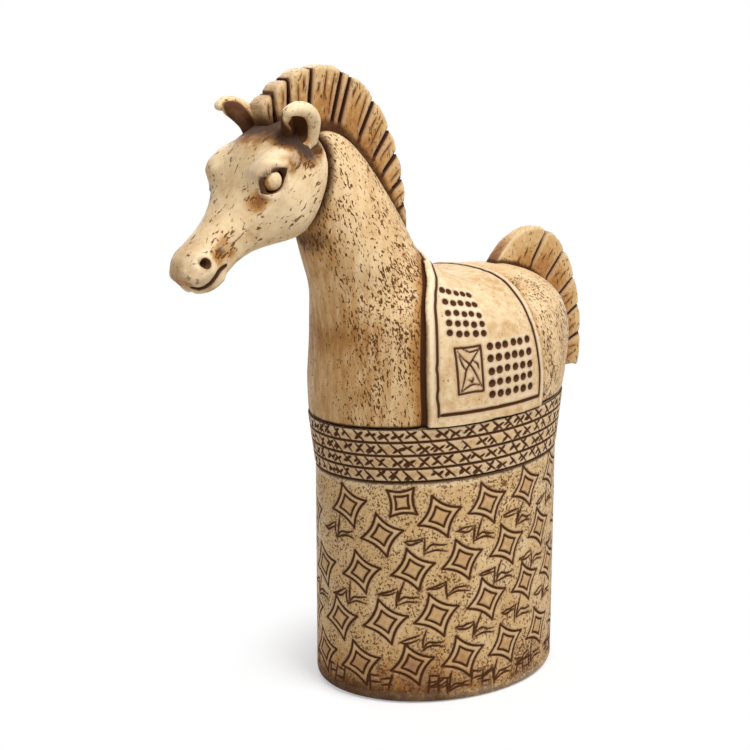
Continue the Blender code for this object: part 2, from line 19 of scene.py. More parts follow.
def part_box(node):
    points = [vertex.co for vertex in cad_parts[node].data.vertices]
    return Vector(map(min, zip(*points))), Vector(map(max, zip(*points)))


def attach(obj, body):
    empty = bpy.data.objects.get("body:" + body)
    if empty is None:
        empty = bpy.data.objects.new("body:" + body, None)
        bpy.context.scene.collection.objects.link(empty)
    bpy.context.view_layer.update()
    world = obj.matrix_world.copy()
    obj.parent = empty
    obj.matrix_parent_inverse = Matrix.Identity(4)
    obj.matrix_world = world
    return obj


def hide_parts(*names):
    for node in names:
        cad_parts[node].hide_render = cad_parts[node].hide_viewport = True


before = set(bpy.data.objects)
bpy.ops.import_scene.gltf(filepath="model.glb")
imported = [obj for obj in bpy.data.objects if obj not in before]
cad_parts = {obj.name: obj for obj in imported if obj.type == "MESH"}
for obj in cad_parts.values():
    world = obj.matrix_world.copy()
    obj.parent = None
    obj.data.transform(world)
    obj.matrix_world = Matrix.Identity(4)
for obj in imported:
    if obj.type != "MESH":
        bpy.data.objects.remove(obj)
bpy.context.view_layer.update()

bl_info = {
    "name": "Horse ornament dressing",
    "version": (1, 0, 0),
    "blender": (4, 5, 0),
    "location": "3D View > Sidebar > Horse",
    "description": "Carved and antiqued resin skins for a packed horse ornament",
    "category": "Object",
}

MM = 0.001
BODY = "root"
# Left and right of the horse
SIDES = (-1, 1)
DRUM_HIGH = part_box("pedestal_shell")[1]

# Places read off the castings: the girdle's levels at the middle of the drum, and its lean
DRUM_TOP = 112 * MM
GIRDLE_TOP = 138.5 * MM
GIRDLE_LEAN = 0.05
LEAN_FROM = 20 * MM
SEAM = (DRUM_TOP + GIRDLE_TOP) / 2

# Head frame: skull centre, nose-down pitch, turn about the neck
SKULL = Vector((-100.5, 0, 249)) * MM
NECK_AXIS = Vector((-75, 0, 0)) * MM
HEAD_PITCH = math.radians(39.5)
HEAD_TURN = math.radians(7)


def length(name, description, value):
    """A property that holds a size, written in millimetres."""
    return FloatProperty(name=name, description=description, default=value * MM, unit="LENGTH", precision=4)


def angle(name, description, degrees):
    return FloatProperty(name=name, description=description, default=math.radians(degrees), subtype="ANGLE")


def colour(name, description, value):
    return FloatVectorProperty(
        name=name, description=description, default=value, subtype="COLOR", size=3, min=0, max=1
    )


class DrumSettings(bpy.types.PropertyGroup):
    """Cut pattern of the drum."""

    columns: IntProperty(name="Columns", description="Diamonds in one row round the drum", default=14, min=6)
    anchor: length("Anchor", "Arc from the tail end to a diamond of the second row", 250.4)
    crowding: FloatProperty(name="Crowding", description="How much closer columns stand at it", default=0.034)
    radius: length("Diamond radius", "Centre of a diamond to its corners", 11.4)
    waist: length("Diamond waist", "Centre of a diamond to the pull of its hollow sides", 4.4)
    inner: FloatProperty(name="Inner share", description="Inner outline as a share of the outer", default=0.5)
    tilt: angle("Tilt", "How far the diamonds lean over", 18)
    line: length("Line width", "Width of a cut line", 1.2)
    depth: length("Line depth", "Depth of a cut line", 0.75)


class GirdleSettings(bpy.types.PropertyGroup):
    """Cut pattern of the girdle."""

    rows: IntProperty(name="Rows", description="Rows of ticks", default=4, min=1)
    ticks: IntProperty(name="Ticks", description="Ticks in one row", default=58, min=12)
    line: length("Line width", "Width of the lines between the rows", 1.2)
    tick: length("Tick width", "Width of a tick", 0.95)
    depth: length("Depth", "Depth of the lines", 0.8)


class ClothSettings(bpy.types.PropertyGroup):
    """Saddle cloth and its punched pattern."""

    thickness: length("Thickness", "Height of the cloth over the flank", 1.6)
    border: length("Border", "Edge to border line", 4.6)
    dot: length("Dot", "Width of a punched dot", 3.5)
    dot_depth: length("Dot depth", "Depth of a punched dot", 1.1)
    line: length("Line width", "Width of the border lines", 1.1)
    groove: length("Groove", "Width of the dark channel before the front edge", 3.4)


class FinishSettings(bpy.types.PropertyGroup):
    """Colours of the antique finish and of its painted shade."""

    ivory: colour("Ivory", "Rubbed resin", (0.80, 0.62, 0.38))
    pale: colour("Pale", "Worn high spots", (0.90, 0.78, 0.57))
    tan: colour("Tan", "Resin of drum and combs", (0.66, 0.45, 0.22))
    honey: colour("Honey", "Resin of neck and body", (0.78, 0.57, 0.325))
    ochre: colour("Ochre", "Warm stain", (0.46, 0.24, 0.075))
    rust: colour("Rust", "Stain along deep cuts", (0.26, 0.095, 0.03))
    bistre: colour("Bistre", "Dashes of wash on the skin", (0.125, 0.047, 0.012))
    # Umber is also the tone of painted shade at joints; slate is the tone of painted shade on the head, about
    # ears and mane.
    umber: colour("Umber", "Wash left in the cuts", (0.058, 0.018, 0.004))
    slate: colour("Slate", "Cold wash about ears and mane", (0.060, 0.037, 0.028))
    brass: colour("Brass", "Dowel", (0.60, 0.42, 0.17))


class StageSettings(bpy.types.PropertyGroup):
    """Camera and light."""

    azimuth: angle("Azimuth", "Camera about the drum's axis", -40)
    distance: length("Distance", "Camera to the drum's axis", 772)
    height: length("Height", "Camera above the floor", 315.4)
    pitch: angle("Pitch", "Camera looking down", 12.2)
    yaw: angle("Yaw", "Camera turned off the axis", 2.28)
    lens: FloatProperty(name="Lens", description="Focal length in millimetres", default=76.8)
    floor: colour("Floor", "Floor and backdrop", (0.93, 0.93, 0.93))
    bounce: colour("Bounce", "Light that the floor throws back", (0.55, 0.52, 0.48))


# Meshes


def link(item):
    bpy.context.scene.collection.objects.link(item)
    return item


def read(values, field, width):
    found = np.empty(len(values) * width, np.float32)
    values.foreach_get(field, found)
    return found.reshape(-1, width).astype(float)


def points_of(item):
    return read(item.data.vertices, "co", 3)


def normals_of(item):
    return read(item.data.vertices, "normal", 3)


def move_points(item, points):
    item.data.vertices.foreach_set("co", points.astype(np.float32).ravel())
    item.data.update()


def store(item, name, values):
    """Keeps one value per point on the mesh, for the materials."""
    layer = item.data.attributes.get(name) or item.data.attributes.new(name, "FLOAT", "POINT")
    layer.data.foreach_set("value", np.asarray(values, np.float32))


def calm(item, name, share):
    """Scales a kept value down where the share is low."""
    values = read(item.data.attributes[name].data, "value", 1)[:, 0]
    store(item, name, values * share)


def skin_of(node, name, voxel, rounds):
    """A dense smooth copy of a casting."""
    return dense_skin(link(bpy.data.objects.new(name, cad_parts[node].data.copy())), voxel, rounds)


def dense_skin(item, voxel, rounds):
    """Turns a solid into one dense smooth skin."""
    dense = item.modifiers.new("dense", "REMESH")
    dense.mode = "VOXEL"
    dense.voxel_size = voxel
    smooth = item.modifiers.new("smooth", "SMOOTH")
    smooth.factor = 0.5
    smooth.iterations = rounds
    item.data = bpy.data.meshes.new_from_object(item.evaluated_get(bpy.context.evaluated_depsgraph_get()))
    item.modifiers.clear()
    item.data.materials.clear()
    item.data.shade_smooth()
    return item


def grid_faces(rows, columns, wrap_rows, wrap_columns):
    """Quads of a grid of points, closed round its rows or columns where asked."""
    r = np.arange(rows if wrap_rows else rows - 1)[:, None]
    c = np.arange(columns if wrap_columns else columns - 1)[None, :]
    up, along = (r + 1) % rows, (c + 1) % columns
    corners = (r * columns + c, r * columns + along, up * columns + along, up * columns + c)
    return np.stack([np.broadcast_to(k, (r.size, c.size)) for k in corners], -1).reshape(-1, 4)


def mesh_item(name, points, faces):
    mesh = bpy.data.meshes.new(name)
    mesh.from_pydata(points, [], faces)
    mesh.update()
    return link(bpy.data.objects.new(name, mesh))


def grid_item(name, points, wrap_rows=False, wrap_columns=False):
    faces = grid_faces(*points.shape[:2], wrap_rows, wrap_columns)
    item = mesh_item(name, points.reshape(-1, 3).tolist(), faces.tolist())
    item.data.shade_smooth()
    return item


def smoothed(points, edges, rounds):
    """Points drawn towards their neighbours."""
    count = len(points)
    a, b = edges[:, 0], edges[:, 1]
    share = 0.5 / np.maximum(np.bincount(edges.ravel(), minlength=count), 1)
    for _ in range(rounds):
        total = [np.bincount(a, points[b, k], count) + np.bincount(b, points[a, k], count) for k in range(3)]
        points = 0.5 * points + np.stack(total, 1) * share[:, None]
    return points


def edges_of(item):
    edges = np.empty(len(item.data.edges) * 2, np.int32)
    item.data.edges.foreach_get("vertices", edges)
    return edges.reshape(-1, 2)


def even_out(item, rounds, share):
    """Smooths a skin where the share is high."""
    points = points_of(item)
    points += (smoothed(points, edges_of(item), rounds) - points) * share[:, None]
    move_points(item, points)


def keep_hollows(item, rounds=24):
    """Stores how deep each point lies in a hollow, in millimetres; worn edges come out negative."""
    points = points_of(item)
    lifted = smoothed(points, edges_of(item), rounds) - points
    store(item, "hollow", (lifted * normals_of(item)).sum(1) / MM)


def tree_of(points):
    tree = KDTree(len(points))
    for k, point in enumerate(points):
        tree.insert(point, k)
    tree.balance()
    return tree


def gaps_to(others, points):
    """Distance of each point from the nearest of the others."""
    tree = tree_of(others)
    return np.array([tree.find(point)[2] for point in points])


def bell(gap, reach):
    """One at no distance, fading out over a reach."""
    return np.exp(-((gap / reach) ** 2))


def skin_tree(item):
    faces = [tuple(face.vertices) for face in item.data.polygons]
    return BVHTree.FromPolygons([v.co for v in item.data.vertices], faces)


def touching(points, item, reach):
    """One where a skin meets another piece, fading out over a distance."""
    tree = skin_tree(item)
    found = [tree.find_nearest(point, 3 * reach)[3] for point in points]
    return bell(np.array([3 * reach if far is None else far for far in found]), reach)


def fade(values, start, end):
    """Smooth step from 0 at start to 1 at end."""
    share = np.clip((values - start) / (end - start), 0, 1)
    return share * share * (3 - 2 * share)


def held_above(values, limit, soft):
    """Values bent over near a limit so that they stay above it."""
    deep = np.maximum(limit + soft - values, 0)
    return np.where(deep > 0, limit + soft - soft * np.tanh(deep / soft), values)


def heading(turn):
    """Flat unit vector at a turn."""
    return np.array([math.cos(turn), math.sin(turn)])


def turned(flat, tilt):
    """Flat points turned about their origin."""
    c, s = math.cos(tilt), math.sin(tilt)
    return flat @ np.array([[c, s], [-s, c]])


def shake(hand, reach, rows):
    """Small random offsets for flat points."""
    return np.array([[hand.uniform(-reach, reach) for _ in range(2)] for _ in range(rows)])


def smooth_path(points, steps):
    """A curve through given points."""
    rows = np.asarray(points, float)
    rows = np.vstack([2 * rows[0] - rows[1], rows, 2 * rows[-1] - rows[-2]])
    t = (np.arange(steps) / steps)[:, None]
    parts = []
    for p, q, r, s in zip(rows, rows[1:], rows[2:], rows[3:]):
        parts.append(q + 0.5 * t * (r - p + t * (2 * p - 5 * q + 4 * r - s + t * (3 * (q - r) + s - p))))
    parts.append(rows[-2][None])
    return np.vstack(parts)


def off_segment(spots, start, end):
    """How far along a segment spots lie, as a share, and their offsets from it."""
    way = end - start
    share = np.clip((spots - start) @ way / max(way @ way, 1e-16), 0, 1)
    return share, spots - start - share[:, None] * way


# Walls of a sawn slot: how far they lean over it, over which reach, and the dark strip along them
SLOT_CLOSING = 0.4 * MM
SLOT_REACH = 1.4 * MM
SLOT_STRIP = 0.25 * MM


class Carving:
    """Cuts strokes and pits into a dense skin and keeps each point's distance from the nearest cut."""

    reach = 5 * MM

    def __init__(self, item):
        self.item = item
        self.points = points_of(item)
        self.normals = normals_of(item)
        self.edge = np.full(len(self.points), self.reach)
        self.depth = np.zeros(len(self.points))
        self.lift = np.zeros(len(self.points))
        self.tree = None

    def lay(self, path):
        """Drops a path onto the skin."""
        if self.tree is None:
            self.tree = tree_of(self.points)
        laid = []
        for point in path:
            spot, index, _ = self.tree.find(point)
            normal = self.normals[index]
            laid.append(point + normal * np.dot(np.asarray(spot) - point, normal))
        return np.array(laid)

    def round_about(self, path, reach):
        """Which points lie in a box round a path."""
        low, high = np.min(path, 0) - reach, np.max(path, 0) + reach
        return np.flatnonzero(((self.points > low) & (self.points < high)).all(1))

    def stroke(self, path, width, depth, taper=0.0):
        """One cut along a path, narrower towards its ends by taper."""
        path = np.asarray(path, float)
        near = self.round_about(path, self.reach)
        spots = self.points[near]
        gap = np.full(len(near), np.inf)
        place = np.zeros(len(near))
        for k, (start, end) in enumerate(zip(path, path[1:])):
            share, away = off_segment(spots, start, end)
            far = np.linalg.norm(away, axis=1)
            closer = far < gap
            gap[closer] = far[closer]
            place[closer] = (k + share[closer]) / (len(path) - 1)
        half = width / 2 * (1 - taper * (2 * place - 1) ** 2)
        self.cut(near, gap, half, depth * half / (width / 2))

    def pit(self, centre, width, depth):
        gap = np.linalg.norm(self.points - centre, axis=1)
        near = np.flatnonzero(gap < self.reach)
        self.cut(near, gap[near], width / 2, depth)

    def cut(self, near, gap, half, depth):
        self.edge[near] = np.minimum(self.edge[near], gap - half)
        bowl = np.clip(1 - (gap / half) ** 2, 0, 1)
        self.depth[near] = np.maximum(self.depth[near], depth * bowl)

    def swell(self, path, width, height):
        """Raises the skin along a path, or sinks it if the height is negative."""
        near = self.round_about(path, 2.2 * width)
        fine = smooth_path(path, 8) if len(path) > 2 else path
        self.lift[near] += height * bell(gaps_to(fine, self.points[near]), width)

    def slots(self, cuts):
        """Marks the walls of slots sawn right through a plate across the horse: ends, width."""
        flat = self.points[:, [0, 2]]
        for start, end, width in cuts:
            _, away = off_segment(flat, start, end)
            far = np.linalg.norm(away, axis=1)
            gap = far - width / 2
            self.edge = np.minimum(self.edge, gap - SLOT_STRIP)
            close = SLOT_CLOSING * bell(gap, SLOT_REACH) / np.maximum(far, 0.1 * MM)
            self.points[:, [0, 2]] -= away * close[:, None]

    def finish(self):
        self.points += self.normals * (self.lift - self.depth)[:, None]
        move_points(self.item, self.points)
        store(self.item, "carved", self.edge / MM)
        keep_hollows(self.item)


class Oval:
    """The drum's oval, measured along its arc from the tail end."""

    def __init__(self, half_length, half_width):
        self.turns = np.linspace(0, 2 * math.pi, 4001)
        self.axes = half_length, half_width
        x, y = half_length * np.cos(self.turns), half_width * np.sin(self.turns)
        self.arcs = np.concatenate([[0], np.cumsum(np.hypot(np.diff(x), np.diff(y)))])
        self.round = self.arcs[-1]

    def turn(self, arc):
        return np.interp(np.asarray(arc) % self.round, self.arcs, self.turns)

    def at(self, arc, inset=0.0):
        turn = self.turn(arc)
        return (self.axes[0] - inset) * np.cos(turn), (self.axes[1] - inset) * np.sin(turn)


def leaned(x, z):
    """Height of a point of the drum or girdle with the lean added."""
    return z + GIRDLE_LEAN * x * np.clip((z - LEAN_FROM) / (DRUM_TOP - LEAN_FROM), 0, 1)


def place(item, node, slot):
    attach(item, BODY)
    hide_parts(node)


# Materials


class Wires:
    """Adds nodes to a tree and joins them."""

    def __init__(self, tree):
        self.tree = tree

    def add(self, kind, inputs=None, **settings):
        made = self.tree.nodes.new(kind)
        for name, value in settings.items():
            setattr(made, name, value)
        for name, value in (inputs or {}).items():
            self.feed(made.inputs[name], value)
        return made

    def feed(self, target, value):
        if isinstance(value, bpy.types.NodeSocket):
            self.tree.links.new(value, target)
        else:
            target.default_value = value

    def math(self, operation, a, b):
        return self.add("ShaderNodeMath", {0: a, 1: b}, operation=operation).outputs[0]

    def times(self, a, b):
        return self.math("MULTIPLY", a, b)

    def plus(self, a, b):
        return self.math("ADD", a, b)

    def minus(self, a, b):
        return self.math("SUBTRACT", a, b)

    def larger(self, a, b):
        return self.math("MAXIMUM", a, b)

    def span(self, value, start, end, low=0.0, high=1.0):
        """Maps a value smoothly from one range to another."""
        inputs = {"Value": value, "From Min": start, "From Max": end, "To Min": low, "To Max": high}
        return self.add("ShaderNodeMapRange", inputs, interpolation_type="SMOOTHSTEP").outputs["Result"]

    def mix(self, share, a, b):
        made = self.add("ShaderNodeMix", data_type="RGBA")
        self.feed(made.inputs["Factor"], share)
        self.feed(made.inputs[6], a)
        self.feed(made.inputs[7], b)
        return made.outputs[2]

    def group(self, name, build, inputs):
        """Adds a shared group, made on its first use."""
        tree = bpy.data.node_groups.get(name) or build()
        return self.add("ShaderNodeGroup", inputs, node_tree=tree)

    def seen(self):
        """One for rays that look at the background, straight or in a reflection."""
        rays = self.add("ShaderNodeLightPath").outputs
        mirrored = self.larger(rays["Is Glossy Ray"], rays["Is Transmission Ray"])
        return self.larger(rays["Is Camera Ray"], mirrored)

    def finish(self, output, share, first, second):
        """Ends a tree in a mix of two shaders."""
        both = self.add("ShaderNodeMixShader", {0: share, 1: first.outputs[0], 2: second.outputs[0]})
        self.feed(self.tree.nodes[output].inputs["Surface"], both.outputs[0])

    def noise(self, vector, scale, detail=3.0, rough=0.55, twist=0.0):
        inputs = {"Vector": vector, "Scale": scale, "Detail": detail, "Roughness": rough, "Distortion": twist}
        return self.add("ShaderNodeTexNoise", inputs).outputs["Fac"]


COLOUR, VALUE, VECTOR = "NodeSocketColor", "NodeSocketFloat", "NodeSocketVector"
WHITE = (1, 1, 1, 1)


def new_group(name, colours, values, outputs, places=()):
    """A group with its sockets: inputs are colours, values with their defaults, and places."""
    group = bpy.data.node_groups.new(name, "ShaderNodeTree")
    for label in places:
        group.interface.new_socket(name=label, in_out="INPUT", socket_type=VECTOR)
    for label in colours:
        group.interface.new_socket(name=label, in_out="INPUT", socket_type=COLOUR).default_value = WHITE
    for label, value in values.items():
        group.interface.new_socket(name=label, in_out="INPUT", socket_type=VALUE).default_value = value
    for label, kind in outputs.items():
        group.interface.new_socket(name=label, in_out="OUTPUT", socket_type=kind)
    wires = Wires(group)
    return group, wires, wires.add("NodeGroupInput").outputs, wires.add("NodeGroupOutput").inputs


def tint_group():
    """Clouds of warm stain and rubbed pale spots over the resin, and rust where the stain and shade field
    asks for it; that field holds stains and, in places, painted shade.
    """
    group, wires, given, put = new_group(
        "resin tint",
        ("Resin", "Warm", "Pale", "Rust"),
        {"Cloud size": 0.03, "Warmth": 0.5, "Stain": 0.0},
        {"Colour": COLOUR, "Cloud": VALUE},
        ("Place",),
    )
    scale = wires.math("DIVIDE", 1.0, given["Cloud size"])
    cloud = wires.noise(given["Place"], scale, 4.0, 0.6)
    fine = wires.noise(given["Place"], wires.times(scale, 7.0), 4.0, 0.65)
    blend = wires.plus(wires.times(cloud, 0.6), wires.times(fine, 0.4))
    warm = wires.times(wires.span(blend, 0.44, 0.66), given["Warmth"])
    pale = wires.times(wires.span(blend, 0.5, 0.36), 0.3)
    toned = wires.mix(pale, given["Resin"], given["Pale"])
    toned = wires.mix(warm, toned, given["Warm"])
    uneven = wires.times(wires.minus(fine, 0.5), 2.2)
    stain = wires.plus(given["Stain"], wires.times(uneven, given["Stain"]))
    toned = wires.mix(wires.span(stain, 0.0, 0.75), toned, given["Warm"])
    rusty = wires.times(wires.span(stain, 0.45, 1.5), 0.9)
    wires.feed(put["Colour"], wires.mix(rusty, toned, given["Rust"]))
    wires.feed(put["Cloud"], blend)
    return group


def speckle_group():
    """Short dark dashes, thinned out where the density is low."""
    outputs = {"Mask": VALUE, "Halo": VALUE}
    group, wires, given, put = new_group("speckle dashes", (), {"Density": 0.3}, outputs, ("Place",))
    grain = wires.noise(given["Place"], 1.0, 2.0, 0.55, 0.5)
    clump = wires.noise(given["Place"], 0.11, 2.0, 0.5)
    spread = wires.plus(wires.times(wires.span(clump, 0.38, 0.62), 0.09), 0.09)
    edge = wires.minus(0.68, wires.times(given["Density"], spread))
    over = wires.minus(grain, edge)
    shown = wires.span(given["Density"], 0.0, 0.08)
    wires.feed(put["Mask"], wires.times(wires.span(over, 0.0, 0.03), shown))
    wires.feed(put["Halo"], wires.times(wires.span(over, -0.09, 0.02), shown))
    return group


def wash_group():
    """Brown wash left in cuts and hollows, painted shade at joints and under parts, warm stain, and pale wear
    on the edges.
    """
    group, wires, given, put = new_group(
        "antique wash",
        ("Colour", "Wash", "Rust", "Pale", "Grime tone"),
        {"Carved": 5.0, "Hollow": 0.0, "Grime": 0.0, "Cloud": 0.5, "Halo": 0.35, "Wear": 0.4},
        {"Colour": COLOUR, "Cut": VALUE, "Dark": VALUE},
    )
    cut = wires.span(given["Carved"], 0.25, -0.15)
    uneven = wires.times(wires.minus(given["Cloud"], 0.5), 1.8)
    halo = wires.span(wires.plus(given["Carved"], uneven), 1.6, -0.2)
    hollow = wires.span(wires.plus(given["Hollow"], wires.times(uneven, 0.05)), 0.03, 0.28)
    wear = wires.times(wires.span(given["Hollow"], -0.02, -0.20), given["Wear"])
    # Painted shade at joints and under parts, in its own tone, from the shade and dirt field
    grime = wires.plus(given["Grime"], wires.times(uneven, 0.5))
    grime = wires.times(wires.span(grime, 0.15, 0.95), wires.span(given["Grime"], 0.0, 0.1))
    toned = wires.mix(wear, given["Colour"], given["Pale"])
    warm = wires.larger(wires.times(halo, given["Halo"]), wires.times(hollow, 0.75))
    toned = wires.mix(warm, toned, given["Rust"])
    toned = wires.mix(wires.times(grime, 0.94), toned, given["Grime tone"])
    dark = wires.larger(cut, wires.span(given["Hollow"], 0.14, 0.5))
    wires.feed(put["Colour"], wires.mix(wires.times(dark, 0.95), toned, given["Wash"]))
    wires.feed(put["Cut"], cut)
    wires.feed(put["Dark"], wires.larger(dark, grime))
    return group


# Low sheen of resin that is rubbed and waxed
SHEEN = 0.12
# Relief that the finish adds: size and share of the fine grain, height, strength
GRAIN_SIZE = 1.6 * MM
GRAIN_SHARE = 0.3
RELIEF = 0.35 * MM
RELIEF_STRENGTH = 0.8


def rgba(value):
    return (*value, 1.0)


def new_material(name):
    """A material, its wires, its shader and the place on the piece."""
    made = bpy.data.materials.new(name)
    made.use_nodes = True
    wires = Wires(made.node_tree)
    where = wires.add("ShaderNodeTexCoord").outputs["Object"]
    return made, wires, made.node_tree.nodes["Principled BSDF"], where


def resin(name, tone, cloud, warm, grain, turn=0, dark=0.92, halo=0.4, wear=0.5, cold=False, streak=1.0):
    """Antiqued resin: clouds of tint, dashes along the grain, wash in the cuts, painted shade at joints and
    wear on the edges.

    Sizes are in millimetres. Streak draws the clouds out upwards, and turn tilts the dashes by degrees.
    """
    finish = bpy.context.scene.horse_finish
    made, wires, shader, where = new_material(name)

    def kept(label):
        return wires.add("ShaderNodeAttribute", attribute_name=label).outputs["Fac"]

    drawn = wires.add("ShaderNodeMapping", {"Vector": where, "Scale": (1, 1, 1 / streak)})
    tint = wires.group("resin tint", tint_group, {
        "Place": drawn.outputs[0],
        "Resin": rgba(getattr(finish, tone)),
        "Warm": rgba(finish.ochre),
        "Pale": rgba(finish.pale),
        "Rust": rgba(finish.rust),
        "Cloud size": cloud * MM,
        "Warmth": warm,
        "Stain": kept("stain"),
    }).outputs
    laid = {"Vector": where, "Rotation": (0, math.radians(turn), 0), "Scale": [size * MM for size in grain]}
    spread = wires.add("ShaderNodeMapping", laid, vector_type="TEXTURE").outputs[0]
    field = {"Place": spread, "Density": kept("speckled")}
    dashes = wires.group("speckle dashes", speckle_group, field).outputs
    specks = wires.times(dashes["Mask"], dark)
    stained = wires.mix(wires.times(dashes["Halo"], 0.3), tint["Colour"], rgba(finish.ochre))
    wash = wires.group("antique wash", wash_group, {
        "Colour": wires.mix(specks, stained, rgba(finish.bistre)),
        "Carved": kept("carved"),
        "Hollow": kept("hollow"),
        "Grime": kept("grime"),
        "Cloud": tint["Cloud"],
        "Wash": rgba(finish.umber),
        "Rust": rgba(finish.rust),
        "Pale": rgba(finish.pale),
        "Grime tone": rgba(finish.slate if cold else finish.umber),
        "Halo": halo,
        "Wear": wear,
    }).outputs
    shader.inputs["Specular IOR Level"].default_value = SHEEN
    wires.feed(shader.inputs["Base Color"], wash["Colour"])
    rough = wires.plus(wires.times(tint["Cloud"], 0.24), 0.32)
    wires.feed(shader.inputs["Roughness"], wires.plus(rough, wires.times(wash["Dark"], 0.3)))
    low = wires.larger(wash["Cut"], wires.times(specks, 0.7))
    high = wires.times(wires.noise(where, 1 / GRAIN_SIZE, 3.0, 0.6), GRAIN_SHARE)
    height = {"Height": wires.minus(high, low), "Distance": RELIEF, "Strength": RELIEF_STRENGTH}
    wires.feed(shader.inputs["Normal"], wires.add("ShaderNodeBump", height).outputs[0])
    return made


def plain_finish(name, tone, metal):
    """Tinted finish of a part without cuts."""
    made, wires, shader, where = new_material(name)
    shader.inputs["Metallic"].default_value = metal
    tint = wires.group("resin tint", tint_group, {
        "Place": where,
        "Resin": rgba(tone),
        "Warm": rgba(bpy.context.scene.horse_finish.umber),
        "Pale": rgba(tone),
        "Cloud size": 12 * MM,
        "Warmth": 0.5,
    }).outputs
    wires.feed(shader.inputs["Base Color"], tint["Colour"])
    wires.feed(shader.inputs["Roughness"], wires.plus(wires.times(tint["Cloud"], 0.3), 0.3))
    height = {"Height": wires.noise(where, 1 / MM), "Distance": 0.2 * MM, "Strength": 0.5}
    wires.feed(shader.inputs["Normal"], wires.add("ShaderNodeBump", height).outputs[0])
    return made


def dress(item, finish, speckled=0.0, grime=0.0, stain=0.0):
    """Gives a skin its finish and the fields that it reads."""
    count = len(item.data.vertices)
    if "carved" not in item.data.attributes:
        store(item, "carved", np.full(count, Carving.reach / MM))
        keep_hollows(item)
    for label, values in (("speckled", speckled), ("grime", grime), ("stain", stain)):
        store(item, label, np.broadcast_to(values, count))
    item.data.materials.append(finish)


# Pedestal


def drum_oval():
    return Oval(DRUM_HIGH.x, DRUM_HIGH.y)


# Fineness of the drum's skin, and the casting's rounding, walls and seats
DRUM_ROWS = 168
DRUM_COLUMNS = 545
FOOT_ROUND = 3.5 * MM
FOOT_STEPS = 5
DRUM_WALL = 7 * MM
DRUM_COLLAR = 4.3 * MM
PLATE_RIM = 5 * MM
PLATE_SEAT = 4.3 * MM

# Rows of diamonds at the anchor: height, rise to the tail end, half a step aside or not
DIAMOND_ROWS = ((95.0, 9.1, 0.5), (70.7, 9.1, 0.0), (46.5, 9.8, 0.5), (22.0, 4.7, 0.0))
# Small square that fills a gap of the top row: arc, height, radius, tilt
STRAY_SQUARE = (220.4, 100.0, 9.4, 52.0)
# Diamonds of the top row that stand out of line: place in the row, arc, height
MOVED_DIAMONDS = {12: (210.0, 83.1), 11: (192.3, 95.8)}
# Power of the rounded outline that stands for a hollow-sided diamond
DIAMOND_POWER = 0.725
# A mark's foot, from the centre of its diamond
MARK_SHIFT = (-7.2, -17.4)
# Strokes of the mark below a diamond, from its foot: doubled stem, an arm from its top and one from its foot
MARK_STROKES = (
    ((3.0, 10.9), (1.4, 5.0), (0.5, 0.8)),
    ((-0.2, 7.4), (-0.5, 3.5), (-0.3, -1.4)),
    ((-9.8, 4.6), (-6.6, 5.4), (-3.8, 6.4), (-0.2, 7.5)),
    ((-10.0, 4.4), (-7.4, 3.9), (-4.2, 4.3), (-0.7, 5.8)),
    ((0.5, 0.8), (3.4, 3.7), (7.1, 3.4), (10.9, 3.7)),
    ((0.0, -0.2), (4.2, 1.4), (7.6, 1.6), (11.2, 0.6)),
)
# Motif near the foot, from its middle
LADDER_STROKES = (
    ((-4.5, 0.5), (-4.0, 7.5)), ((-0.4, 0.0), (0.2, 7.0)), ((4.0, 0.8), (4.4, 7.2)),
    ((-5.0, 7.2), (-0.4, 7.0)), ((-4.6, 4.2), (0.0, 4.4)), ((0.2, 5.6), (4.8, 5.8)), ((0.0, 2.0), (4.6, 2.4)),
)
LADDER_HEIGHT = 5.6 * MM
LADDER_SIZE = 1.18 * MM
# Points of a mark that keep clear of the diamonds, and the least height of its foot
MARK_TIPS = ((-9.8, 4.5), (10.9, 2.2), (0.0, 0.0))
MARK_HEIGHT = 4 * MM
# How often a stroke of a mark or a ladder is left out, and how far aside of a diamond a ladder stands
MARK_SKIP = 0.08
LADDER_SKIP = 0.15
LADDER_ASIDE = (10 * MM, 15 * MM)
DRUM_SEED = 11
# Stained patch low on the drum: arc, height, reach
DRUM_SMUDGE = (228.0, 14.0, 15.0)


def drum_profile():
    """Inset and height of the drum's rings, from the foot's inner edge round to it again."""
    foot = [math.pi / 2 * k / FOOT_STEPS for k in range(FOOT_STEPS)]
    rings = [(PLATE_RIM, 0.0)]
    rings += [(FOOT_ROUND * (1 - math.sin(a)), FOOT_ROUND * (1 - math.cos(a))) for a in foot]
    rings += [(0.0, z) for z in np.linspace(FOOT_ROUND, DRUM_TOP, DRUM_ROWS)]
    rings += [(DRUM_COLLAR, DRUM_TOP), (DRUM_COLLAR, SEAM), (DRUM_WALL, SEAM)]
    rings += [(DRUM_WALL, PLATE_SEAT), (PLATE_RIM, PLATE_SEAT)]
    return rings


def drum_skin(name):
    oval = drum_oval()
    arcs = np.arange(DRUM_COLUMNS) * oval.round / DRUM_COLUMNS
    rings = []
    for inset, z in drum_profile():
        x, y = oval.at(arcs, inset)
        rings.append(np.stack([x, y, leaned(x, np.full(len(x), z))], 1))
    return grid_item(name, np.array(rings), True, True)


def on_drum(oval, flat):
    """Points of the drum's wall from arc and height."""
    x, y = oval.at(flat[:, 0])
    return np.stack([x, y, flat[:, 1]], 1)


def star_side(radius, waist, start):
    """One hollow side of a diamond, from a corner to the next."""
    end = start + math.pi / 2
    corner, other = radius * heading(start), radius * heading(end)
    pull = waist * heading((start + end) / 2)
    t = np.linspace(0, 1, 7)[:, None]
    return corner * (1 - t) ** 2 + 2 * pull * t * (1 - t) + other * t**2


